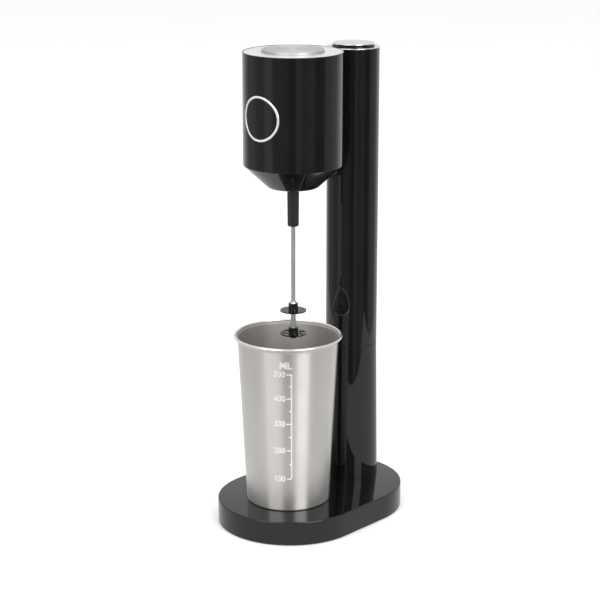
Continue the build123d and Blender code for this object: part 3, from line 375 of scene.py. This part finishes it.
# ---------------------------------------------------------------- base
def base_skin():
    """The base's cover: a stadium-shaped cap with a small round along its top edge."""
    low_z, top_z = low("base_cover")[2], high("base_cover")[2]
    end_r = radius("base_cover")
    half_straight = high("base_cover")[1] - end_r
    plate_gap = 0.15 * MM
    wall = end_r - radius("base_plate") - plate_gap
    edge = 1.0 * MM
    edge_steps = 8
    arc_points = 72
    # pairs of (inset, height) up the outer wall and over the edge, and last the ceiling's edge
    profile = [(wall, low_z), (0, low_z), (0, top_z - edge)]
    for k in range(1, edge_steps + 1):
        a = math.pi / 2 * k / edge_steps
        profile.append((edge * (1 - math.cos(a)), top_z - edge + edge * math.sin(a)))
    profile.append((wall, top_z - wall))

    def outline(inset):
        points = []
        for side in (-1, 1):
            for k in range(arc_points + 1):
                a = math.pi * k / arc_points + (math.pi if side < 0 else 0)
                reach = end_r - inset
                points.append((reach * math.cos(a), side * half_straight + reach * math.sin(a)))
        return points

    bm = bmesh.new()
    *outer, ceiling = [[bm.verts.new((x, y, z)) for x, y in outline(inset)] for inset, z in profile]
    for a, b in zip(outer, outer[1:]):
        band(bm, a, b)
    band(bm, ceiling, outer[0])
    bm.faces.new(outer[-1])
    bm.faces.new(ceiling)
    made = add_object("base_skin", finished(bm, "base_skin"), GLOSS, sharp=50)
    inlet = (0, low("cord_grommet")[1], centre("cord_grommet")[2])
    cut(made, drill(inlet, (0, 1, 0), radius("cord_grommet"), 20 * MM))
    stand_for(made, "stand", "base_cover")


base_skin()


# ---------------------------------------------------------------- column
def column_skins():
    """The two gloss tubes of the column, with a chamfered parting line between them."""
    seam_z = low("upper_column")[2]
    top_z = high("upper_column")[2]
    foot_z = low("lower_column")[2]
    r = radius("upper_column")
    foot_r = radius("lower_column")
    wall = 2.4 * MM
    chamfer = 0.3 * MM
    screw_turn = math.radians(30)
    screw_hole_r = 2.95 * MM
    screw_hole_depth = 1.6 * MM
    lower = rounded(
        [(r - wall, foot_z), (foot_r, foot_z), (r, seam_z - chamfer),
         (r - chamfer, seam_z), (r - wall, seam_z)],
        [0, 0.2 * MM, 0, 0, 0],
    )
    stub = lathe("lower_column_skin", lower, COLUMN, GLOSS, sharp=30)
    stand_for(stub, "stand", "lower_column")
    upper = [
        (r - wall, seam_z), (r - chamfer, seam_z), (r, seam_z + chamfer), (r, top_z), (r - wall, top_z)
    ]
    tube = lathe("upper_column_skin", upper, COLUMN, GLOSS, sharp=30)
    screw_z = centre("column_screws")[2]
    for side in (-1, 1):
        outward = Vector((side * math.sin(screw_turn), math.cos(screw_turn), 0))
        start = Vector((*COLUMN, screw_z)) + outward * (r - screw_hole_depth)
        cut(tube, drill(start, outward, screw_hole_r, 5 * MM, 48))
    stand_for(tube, "stand", "upper_column")


column_skins()


def start_button_pieces():
    """Plated bezel ring at the column's top, and the domed button that stands up inside it."""
    top_z = high("column_bezel")[2]
    seat_z = high("upper_column")[2]
    r = radius("column_bezel")
    button_r = radius("start_button")
    bore = button_r + 0.3 * MM
    sleeve_r = r - 2.6 * MM
    sleeve_z = low("column_bezel")[2]
    ring = rounded(
        [(bore, sleeve_z), (sleeve_r, sleeve_z), (sleeve_r, seat_z), (r, seat_z), (r, top_z), (bore, top_z)],
        [0, 0, 0, 0.1 * MM, 0.45 * MM, 0.2 * MM],
    )
    bezel = lathe("column_bezel_ring", ring, COLUMN, CHROME)
    stand_for(bezel, "stand", "column_bezel")
    dome_top = high("start_button")[2]
    dome = 0.6 * MM
    edge = 0.35 * MM
    skirt_r = button_r - 0.25 * MM
    skirt_z = seat_z - 4 * MM
    curve_r = (button_r ** 2 + dome ** 2) / (2 * dome)
    edge_z = dome_top - dome
    plate_z = edge_z - 2.4 * edge
    wall = 1.5 * MM
    ceiling_z = edge_z - wall
    stem_r = 2.5 * MM
    stem_z = low("start_button")[2]
    cap = [(0, stem_z), (stem_r, stem_z), (stem_r, ceiling_z), (button_r - wall, ceiling_z),
           (button_r - wall, skirt_z), (skirt_r, skirt_z), (skirt_r, plate_z), (button_r, plate_z)]
    for k in range(9):
        a = math.pi / 2 * k / 8
        cap.append((button_r - edge * (1 - math.cos(a)), edge_z - edge + edge * math.sin(a)))
    for k in range(15, -1, -1):
        reach = (button_r - 2 * edge) * k / 15
        cap.append((reach, dome_top - curve_r + math.sqrt(curve_r ** 2 - reach ** 2)))
    button = lathe("start_button_cap", cap, COLUMN, CHROME, sharp=50)
    # Below its plated top the button's side is gloss black, a painted dark reflection standing in for the
    # dark surroundings mirrored in its plated side.
    button.data.materials.append(GLOSS)
    for face in button.data.polygons:
        if face.center.z < plate_z + 0.01 * MM:
            face.material_index = 1
    stand_for(button, "start_button", "start_button")


start_button_pieces()


def spring_piece():
    """The return spring, wound short enough to leave the button's travel free above it."""
    press = next(j for j in frame["record"]["behaviour"]["joints"] if j["name"] == "start_button_press")
    wire = 0.4 * MM
    coil_r = radius("button_spring") - wire
    low_z = low("button_spring")[2] + wire
    height = high("button_spring")[2] - wire - low_z - press["range_m"][1]
    turns, sides, turn_steps = 7, 10, 40
    steps = turns * turn_steps
    slope = math.atan2(height, 2 * math.pi * coil_r * turns)
    bm = bmesh.new()
    rings = []
    for i in range(steps + 1):
        a = 2 * math.pi * turns * i / steps
        out = Vector((math.cos(a), math.sin(a), 0))
        along = Vector((-math.sin(a) * math.cos(slope), math.cos(a) * math.cos(slope), math.sin(slope)))
        up = out.cross(along)
        middle = Vector((COLUMN[0], COLUMN[1], low_z + height * i / steps)) + out * coil_r
        ring = []
        for k in range(sides):
            b = 2 * math.pi * k / sides
            ring.append(bm.verts.new(middle + (out * math.cos(b) + up * math.sin(b)) * wire))
        rings.append(ring)
    for a, b in zip(rings, rings[1:]):
        band(bm, a, b)
    bm.faces.new(rings[0])
    bm.faces.new(rings[-1])
    made = add_object("return_spring", finished(bm, "return_spring"), SCREW)
    stand_for(made, "stand", "button_spring")


spring_piece()


# ---------------------------------------------------------------- head
def head_pieces():
    """The head's shell and cone, and the cap ring and spun disc on its top."""
    low_z, top_z = low("head_shell")[2], high("head_shell")[2]
    wall = 2.2 * MM
    lip = 0.8 * MM
    seat = top_z - 3.0 * MM
    shell = rounded(
        [(HEAD_R - wall, low_z), (HEAD_R, low_z), (HEAD_R, top_z), (HEAD_R - lip, top_z),
         (HEAD_R - lip, seat), (HEAD_R - wall, seat)],
        [0, 0.25 * MM, 0.35 * MM, 0.25 * MM, 0, 0],
    )
    skin = lathe("head_skin", shell, HEAD, GLOSS, segments=288, sharp=30)
    hole_start = (HEAD[0], HEAD[1] - HEAD_R - 5 * MM, centre("front_ring")[2])
    cut(skin, drill(hole_start, (0, 1, 0), radius("front_ring") - 0.3 * MM, 20 * MM, 128))
    stand_for(skin, "stand", "head_shell")

    cone_low = low("head_cone")[2]
    cone_top_r = HEAD_R - 0.2 * MM
    cone_low_r = 20.0 * MM
    cone_bore = 5.0 * MM
    cone_wall = 2.4 * MM
    cone = rounded(
        [(cone_top_r - 3.0 * MM, low_z), (cone_top_r, low_z), (cone_top_r, low_z - 0.25 * MM),
         (cone_low_r, cone_low), (cone_bore, cone_low), (cone_bore, cone_low + cone_wall),
         (cone_low_r - 1.0 * MM, cone_low + cone_wall)],
        [0, 0, 0, 5 * MM, 0.3 * MM, 0, 3 * MM],
        steps=12,
    )
    cover = lathe("head_cone_skin", cone, HEAD, GLOSS, sharp=30)
    stand_for(cover, "stand", "head_cone")

    cap_top = high("top_cap")[2]
    cap_r = radius("top_cap")
    disc_r = radius("top_disc")
    disc_top = high("top_disc")[2]
    cap_low = cap_top - 2.8 * MM
    seat_z = cap_top - 0.8 * MM
    seat_r = disc_r + 0.35 * MM
    hole_r = disc_r - 3 * MM
    cap = rounded(
        [(hole_r, cap_low), (cap_r, cap_low), (cap_r, cap_top),
         (seat_r, cap_top), (seat_r, seat_z), (hole_r, seat_z)],
        [0, 0, 0.3 * MM, 0.2 * MM, 0, 0],
    )
    ring = lathe("top_cap_ring", cap, HEAD, SILVER)
    stand_for(ring, "stand", "top_cap")
    disc = rounded(
        [(0, seat_z), (disc_r, seat_z), (disc_r, disc_top), (0, disc_top)],
        [0, 0, 0.5 * MM, 0],
    )
    spun = lathe("top_disc_plate", disc, HEAD, SPUN)
    stand_for(spun, "stand", "top_disc")


head_pieces()


def on_head(across, up, proud):
    """A point on the head's front, from a place across and up, standing proud of the wall."""
    turn = math.asin(max(-1.0, min(1.0, across / HEAD_R)))
    reach = HEAD_R + proud
    return Vector((HEAD[0] + reach * math.sin(turn), HEAD[1] - reach * math.cos(turn), up))


def front_ring_piece():
    """Plated ring with a rounded face, which follows the head's curve."""
    outer = radius("front_ring")
    middle_z = centre("front_ring")[2]
    width = 1.7 * MM
    proud = abs(HEAD_R - (HEAD[1] - low("front_ring")[1]))
    # pairs of (place across the width, height in units of how far the ring stands proud)
    shoulder, depth, arch_steps = 0.1, -3.0, 12
    section = [(-0.5, depth), (-0.5, shoulder)]
    for k in range(1, arch_steps):
        a = math.pi * k / arch_steps
        section.append((-0.5 * math.cos(a), shoulder + (1 - shoulder) * math.sin(a)))
    section += [(0.5, shoulder), (0.5, depth)]
    bm = bmesh.new()
    steps = 160
    rings = []
    for i in range(steps):
        a = 2 * math.pi * i / steps
        ring = []
        for w, h in section:
            reach = outer - width / 2 + w * width
            place = on_head(reach * math.cos(a), middle_z + reach * math.sin(a), max(h, 0) * proud)
            ring.append(bm.verts.new(place + Vector((0, -min(h, 0) * proud, 0))))
        rings.append(ring)
    for i in range(steps):
        band(bm, rings[i], rings[(i + 1) % steps])
    made = add_object("front_ring_trim", finished(bm, "front_ring_trim"), BRIGHT_RING)
    stand_for(made, "stand", "front_ring")


front_ring_piece()


def front_button_piece():
    """The button's face carries the head's curve on, with a small round at its edge."""
    r = radius("front_button")
    middle_z = centre("front_button")[2]
    bm = bmesh.new()
    steps = 160
    face_rings = 24
    edge = 0.35 * MM
    edge_steps = 6
    # pairs of (distance from the middle, depth under the head's curve)
    levels = [(r * k / face_rings, 0.0) for k in range(1, face_rings)]
    for k in range(edge_steps + 1):
        a = math.pi / 2 * k / edge_steps
        levels.append((r - edge * (1 - math.sin(a)), -edge * (1 - math.cos(a))))
    levels.append((r, -3.5 * MM))
    hub = bm.verts.new(on_head(0, middle_z, 0))
    rings = []
    for reach, depth in levels:
        ring = []
        for i in range(steps):
            a = 2 * math.pi * i / steps
            place = on_head(reach * math.cos(a), middle_z + reach * math.sin(a), depth)
            ring.append(bm.verts.new(place))
        rings.append(ring)
    for i in range(steps):
        bm.faces.new((hub, rings[0][i], rings[0][(i + 1) % steps]))
    for a, b in zip(rings, rings[1:]):
        band(bm, a, b)
    bm.faces.new(rings[-1])
    made = add_object("front_button_face", finished(bm, "front_button_face"), GLOSS, sharp=60)
    stand_for(made, "front_button", "front_button")


front_button_piece()


# ---------------------------------------------------------------- cup
# how far below the rim's bead the straight wall ends
RIM_DROP = 3 * MM


def cup_piece():
    """The steel cup: raised floor, tapered wall and rolled rim. Gives back the sizes that its scale needs."""
    floor_z = low("mixing_cup")[2]
    rim_z = high("mixing_cup")[2]
    rim_r = radius("mixing_cup")
    bead = 1.15 * MM
    bead_z = rim_z - bead
    bead_ring = rim_r - bead
    mouth_r, floor_r, wall = 41.3 * MM, 34.3 * MM, 0.6 * MM
    mouth_z = bead_z - RIM_DROP
    raise_z = 1.2 * MM
    raised_z = floor_z + raise_z
    outside = rounded(
        [(0, raised_z), (floor_r - 6 * MM, raised_z), (floor_r - 5 * MM, floor_z), (floor_r, floor_z),
         (mouth_r, mouth_z), (bead_ring - 0.4 * bead, bead_z - 0.8 * bead)],
        [0, 1 * MM, 1 * MM, 1.5 * MM, 4 * MM, 0],
    )
    bead_start, bead_sweep, bead_steps = -115, 285, 24
    bead_arc = []
    for k in range(bead_steps + 1):
        a = math.radians(bead_start + bead_sweep * k / bead_steps)
        bead_arc.append(Vector((bead_ring + bead * math.cos(a), bead_z + bead * math.sin(a))))
    inside = rounded(
        [(bead_ring - 0.9 * bead, bead_z - 0.25 * bead), (mouth_r - 0.25 * MM, bead_z - 1.6 * MM),
         (floor_r - wall, floor_z + wall), (floor_r - 4.7 * MM, floor_z + wall),
         (floor_r - 5.7 * MM, raised_z + wall), (0, raised_z + wall)],
        [0, 0.8 * MM, 2.5 * MM, 1 * MM, 1 * MM, 0],
    )
    cup = lathe("steel_cup", outside + bead_arc + inside, CUP, STEEL, segments=256, sharp=50)
    # The faces inside the cup and on its floor take the darker steel, painted shade of the hollow.
    cup.data.materials.append(SHADED_STEEL_INSIDE)
    # The rolled rim takes the lighter steel, a painted highlight along the bead.
    cup.data.materials.append(LIT_STEEL_RIM)
    for face in cup.data.polygons:
        reach = math.hypot(face.center.x, face.center.y)
        facing_in = face.normal.x * face.center.x + face.normal.y * face.center.y < 0
        on_floor = face.normal.z > 0.5 and face.center.z < floor_z + 4 * MM
        if on_floor or (facing_in and reach < bead_ring - bead and face.center.z > raised_z):
            face.material_index = 1
        elif reach > bead_ring - bead and face.center.z > bead_z - 0.5 * bead:
            face.material_index = 2
    stand_for(cup, "cup", "mixing_cup")
    return floor_z, raised_z + wall, mouth_z, floor_r, mouth_r, wall


CUP_SHAPE = cup_piece()


# where the scale sits round the cup, from the front
SCALE_TURN = math.radians(41.88)


def cup_scale():
    """The volume scale pressed into the cup: a mark each 50 ml, placed by the cup's own volume."""
    floor_z, inner_floor_z, mouth_z, floor_r, mouth_r, wall = CUP_SHAPE

    def outer_r(z):
        return floor_r + (mouth_r - floor_r) * (z - floor_z) / (mouth_z - floor_z)

    def height_of(volume):
        """The height of the surface when the cup holds a volume."""
        z = inner_floor_z
        step = 0.05 * MM
        filled = 0.0
        while filled < volume:
            filled += math.pi * (outer_r(z) - wall) ** 2 * step
            z += step
        return z

    lift = 0.45 * MM
    root = -0.3
    bm = bmesh.new()

    def on_wall(around, z, proud):
        """A point on the wall, from a distance round it and a height, standing proud of it."""
        r = outer_r(z) + proud
        a = SCALE_TURN + around / outer_r(z)
        return Vector((r * math.sin(a), -r * math.cos(a), z))

    def ridge(x0, z0, x1, z1, width):
        """A raised bar with sloped sides between two places on the wall."""
        along = Vector((x1 - x0, z1 - z0))
        length = along.length
        along.normalize()
        side = Vector((-along.y, along.x))
        steps = max(2, int(length / (0.8 * MM)))
        rows = []
        for i in range(steps + 1):
            p = Vector((x0, z0)) + along * length * i / steps
            crest = root if i in (0, steps) else 1.0
            row = []
            for s, h in ((-1, root), (-0.45, crest), (0.45, crest), (1, root)):
                q = p + side * s * width / 2
                row.append(bm.verts.new(on_wall(q.x, q.y, lift * h)))
            rows.append(row)
        for a, b in zip(rows, rows[1:]):
            band(bm, a, b)
        bm.faces.new(rows[0])
        bm.faces.new(rows[-1])

    line_x = 3.0 * MM
    heights = {ml: height_of(ml * MILLILITRE) for ml in range(100, 501, 50)}
    ridge(line_x, heights[100], line_x, heights[500], 1.5 * MM)
    for ml, z in heights.items():
        reach = 4.2 * MM if ml % 100 == 0 else 2.2 * MM
        ridge(line_x, z, line_x - reach, z, 1.3 * MM)

    def label(text, x, z, size):
        """Raised letters wrapped round the wall, which end at a distance round it and sit at a height."""
        curve = bpy.data.curves.new("label", "FONT")
        curve.body = text
        curve.size = size
        curve.align_x = "RIGHT"
        curve.align_y = "CENTER"
        curve.extrude = 0.5
        curve.offset = 0.03 * size
        holder = bpy.data.objects.new("label", curve)
        scene.collection.objects.link(holder)
        bpy.context.view_layer.update()
        evaluated = holder.evaluated_get(bpy.context.evaluated_depsgraph_get())
        mesh = bpy.data.meshes.new_from_object(evaluated)
        bpy.data.objects.remove(holder)
        glyphs = bmesh.new()
        glyphs.from_mesh(mesh)
        long_edges = [e for e in glyphs.edges if e.calc_length() > size / 4]
        bmesh.ops.subdivide_edges(glyphs, edges=long_edges, cuts=1)
        for v in glyphs.verts:
            v.co = on_wall(x + v.co.x, z + v.co.y, lift if v.co.z > 0 else root * lift)
        glyphs.to_mesh(mesh)
        glyphs.free()
        bm.from_mesh(mesh)

    for ml in range(100, 501, 100):
        label(str(ml), line_x - 5.0 * MM, heights[ml], 6.2 * MM)
    label("ML", line_x + 0.3 * MM, heights[500] + 7.5 * MM, 8.0 * MM)
    # The marks take the lighter steel, a painted highlight on the raised scale.
    made = add_object("cup_scale", finished(bm, "cup_scale"), LIT_STEEL_MARKS, (*CUP, 0), sharp=25)
    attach(made, "cup")


cup_scale()


# ---------------------------------------------------------------- whisk and drive socket
def socket_piece():
    """The socket that holds the whisk's rod: slightly tapered, with a blind bore."""
    top_z, low_z = high("drive_socket")[2], low("drive_socket")[2]
    top_r = radius("drive_socket")
    low_r = top_r - 0.3 * MM
    taper_top = low_z + 32 * MM
    bore = radius("whisk_rod") + 0.03 * MM
    bore_top = low_z + 21 * MM
    body = rounded(
        [(bore, low_z), (low_r, low_z), (top_r, taper_top), (top_r, top_z), (0, top_z),
         (0, bore_top), (bore, bore_top)],
        [0.25 * MM, 0.9 * MM, 0, 0.3 * MM, 0, 0, 0],
    )
    made = lathe("socket_sleeve", body, HEAD, SATIN_BLACK, segments=96)
    stand_for(made, "drive", "drive_socket")


socket_piece()


# ---------------------------------------------------------------- CAD nodes that keep their shape
def dress(node, material):
    """Gives a CAD node its finish."""
    for place in frame["nodes"][node].material_slots:
        place.material = material


FINISHES = {
    "base_plate": MATT_BLACK,
    "ballast_weight": moulded("cast_iron", (0.12, 0.12, 0.12), 0.6, grain=700.0, depth=4e-5),
    "rubber_feet": RUBBER,
    "base_screws": SCREW,
    "cord_grommet": RUBBER,
    "terminal_block": moulded("nylon", (0.7, 0.7, 0.66), 0.4),
    "column_foot_screws": SCREW,
    "column_screws": moulded("black_oxide", (0.02, 0.02, 0.02), 0.35, metallic=0.9),
    "switch_bracket": MATT_BLACK,
    "start_switch": SATIN_BLACK,
    "power_lead": RUBBER,
    "neck": GLOSS,
    "neck_trim": SILVER,
    "neck_screws": SCREW,
    "shaft_seal": RUBBER,
    "switch_board": moulded("laminate", (0.02, 0.16, 0.06), 0.35),
    "board_screws": SCREW,
    "motor_chassis": SCREW,
    "chassis_screws": SCREW,
    "motor_can": SCREW,
    "motor_screws": SCREW,
    "motor_end_cap": moulded("acetal", (0.68, 0.66, 0.6), 0.4),
    "shaft_bushes": moulded("sintered_bronze", (0.45, 0.3, 0.12), 0.45, metallic=0.9),
    "field_magnets": moulded("ferrite", (0.05, 0.05, 0.055), 0.5),
    "rotor_core": moulded("lamination", (0.25, 0.25, 0.26), 0.4, metallic=0.9),
    "commutator": moulded("copper", (0.6, 0.32, 0.18), 0.3, metallic=1.0),
    "motor_shaft": ROD,
    "motor_lead": RUBBER,
    "whisk_rod": ROD,
    "rod_collar": moulded("collar_steel", (0.40, 0.40, 0.39), 0.35, metallic=1.0),
    "upper_disc": DISC_BLACK,
    "lower_disc": DISC_BLACK,
    "spacer_sleeve": SLEEVE,
}
for node, material in FINISHES.items():
    dress(node, material)


# ---------------------------------------------------------------- studio
FLOOR_R = 9.0
# the sheet that stands for a lit table: half its width, how far it reaches back and forward, its glow
TABLE_SIDE = 0.55
TABLE_BACK = 1.6
TABLE_FRONT = 0.31
TABLE_GLOW = 0.85


def studio_floor():
    """A pale floor, which the polished parts do not mirror."""
    n = Nodes("floor_white")
    cloud = n.noise(n.scaled((3, 3, 3)), detail=2.0)
    n.set(Base_Color=n.shade(cloud, (0.86, 0.86, 0.86), (0.88, 0.88, 0.88)), Roughness=0.9)
    bm = bmesh.new()
    bmesh.ops.create_circle(bm, cap_ends=True, segments=96, radius=FLOOR_R)
    mesh = bpy.data.meshes.new("floor")
    bm.to_mesh(mesh)
    bm.free()
    floor = add_object("floor", mesh, n.material)
    floor.visible_glossy = False


studio_floor()


def studio_table():
    """The lit table that only the polished parts mirror, with its straight edge toward the camera."""
    table = Nodes("table_white")
    grain = table.noise(table.scaled((5, 5, 5)), detail=2.0)
    table.set(
        Base_Color=(0, 0, 0, 1),
        Roughness=1.0,
        Emission_Color=table.shade(grain, (0.94, 0.94, 0.94), (1, 1, 1)),
        Emission_Strength=TABLE_GLOW,
    )
    corners = [
        (TABLE_SIDE, TABLE_BACK), (-TABLE_SIDE, TABLE_BACK),
        (-TABLE_SIDE, -TABLE_FRONT), (TABLE_SIDE, -TABLE_FRONT),
    ]
    mesh = bpy.data.meshes.new("table")
    mesh.from_pydata([(x, y, 0) for x, y in corners], [], [(0, 1, 2, 3)])
    sheet = add_object("table", mesh, table.material, (0, 0, -0.5 * MM))
    sheet.rotation_euler = (0, 0, CAMERA_TURN)
    sheet.visible_camera = False
    sheet.visible_diffuse = False
    sheet.visible_shadow = False


studio_table()


# the studio seen in the polished parts: direction in degrees about Z, and brightness
STUDIO = [
    (-180, 0.55), (-168, 0.36), (-152, 0.46), (-133, 0.34), (-119, 0.36), (-112, 0.62), (-99, 0.62),
    (-92, 0.26), (-64, 0.22), (-54, 0.10), (-44, 0.10), (-38, 0.34), (-33, 0.34), (-27, 0.20),
    (-2, 0.26), (8, 0.10), (24, 0.10), (34, 0.42), (64, 0.48), (84, 0.9), (165, 0.9), (180, 0.55),
]
ROOM_GLOW = 1.15
CEILING_GLOW = 0.78
# heights of a direction, as its sine, between which the walls fade into the ceiling
WALL_END = -0.03
CEILING_START = 0.12


def studio_world():
    """White behind the object, and a dim room with soft brighter strips in front of it."""
    world = bpy.data.worlds.new("studio")
    scene.world = world
    world.use_nodes = True
    tree = world.node_tree
    tree.nodes.clear()
    where = tree.nodes.new("ShaderNodeTexCoord")
    split = tree.nodes.new("ShaderNodeSeparateXYZ")
    tree.links.new(where.outputs["Generated"], split.inputs[0])
    turn = tree.nodes.new("ShaderNodeMath")
    turn.operation = "ARCTAN2"
    tree.links.new(split.outputs[1], turn.inputs[0])
    tree.links.new(split.outputs[0], turn.inputs[1])
    part = tree.nodes.new("ShaderNodeMapRange")
    part.inputs["From Min"].default_value = -math.pi
    part.inputs["From Max"].default_value = math.pi
    tree.links.new(turn.outputs[0], part.inputs["Value"])
    ramp = tree.nodes.new("ShaderNodeValToRGB")
    ramp.color_ramp.interpolation = "EASE"
    tree.links.new(part.outputs[0], ramp.inputs["Fac"])
    stops = ramp.color_ramp.elements
    stops.remove(stops[-1])
    for i, (degrees, level) in enumerate(STUDIO):
        place = (degrees + 180) / 360
        stop = stops[0] if i == 0 else stops.new(place)
        stop.position = place
        stop.color = (level, level, level, 1)

    def background(colour, strength):
        node = tree.nodes.new("ShaderNodeBackground")
        if isinstance(colour, tuple):
            node.inputs["Color"].default_value = colour
        else:
            tree.links.new(colour, node.inputs["Color"])
        node.inputs["Strength"].default_value = strength
        return node.outputs[0]

    def choose(factor, a, b):
        node = tree.nodes.new("ShaderNodeMixShader")
        tree.links.new(factor, node.inputs[0])
        tree.links.new(a, node.inputs[1])
        tree.links.new(b, node.inputs[2])
        return node.outputs[0]

    height = tree.nodes.new("ShaderNodeMapRange")
    height.inputs["From Min"].default_value = WALL_END
    height.inputs["From Max"].default_value = CEILING_START
    tree.links.new(split.outputs[2], height.inputs["Value"])
    seen = tree.nodes.new("ShaderNodeLightPath").outputs
    white = (1, 1, 1, 1)
    walls = background(ramp.outputs["Color"], 1.0)
    mirrored = choose(height.outputs[0], walls, background(white, CEILING_GLOW))
    room = choose(seen["Is Diffuse Ray"], mirrored, background(white, ROOM_GLOW))
    whole = choose(seen["Is Camera Ray"], room, background(white, 1.0))
    out = tree.nodes.new("ShaderNodeOutputWorld")
    tree.links.new(whole, out.inputs["Surface"])


studio_world()


LIGHTS_AIM = Vector((0, 0, 0.1))


def softbox(name, turn, up, distance, width, height, power):
    """An area light at a direction from the object, turned to face it."""
    light = bpy.data.lights.new(name, "AREA")
    light.shape = "RECTANGLE"
    light.size = width
    light.size_y = height
    light.energy = power
    made = bpy.data.objects.new(name, light)
    away = Vector(
        (math.cos(math.radians(turn)) * math.cos(math.radians(up)),
         math.sin(math.radians(turn)) * math.cos(math.radians(up)),
         math.sin(math.radians(up)))
    )
    made.location = LIGHTS_AIM + away * distance
    made.rotation_euler = away.to_track_quat("Z", "Y").to_euler()
    scene.collection.objects.link(made)


softbox("strip_left", -83, 28, 2.0, 1.35, 1.5, 16)
softbox("strip_right", -13, 28, 2.0, 1.05, 1.5, 23)
softbox("overhead", 132, 70, 2.4, 1.8, 1.8, 10)
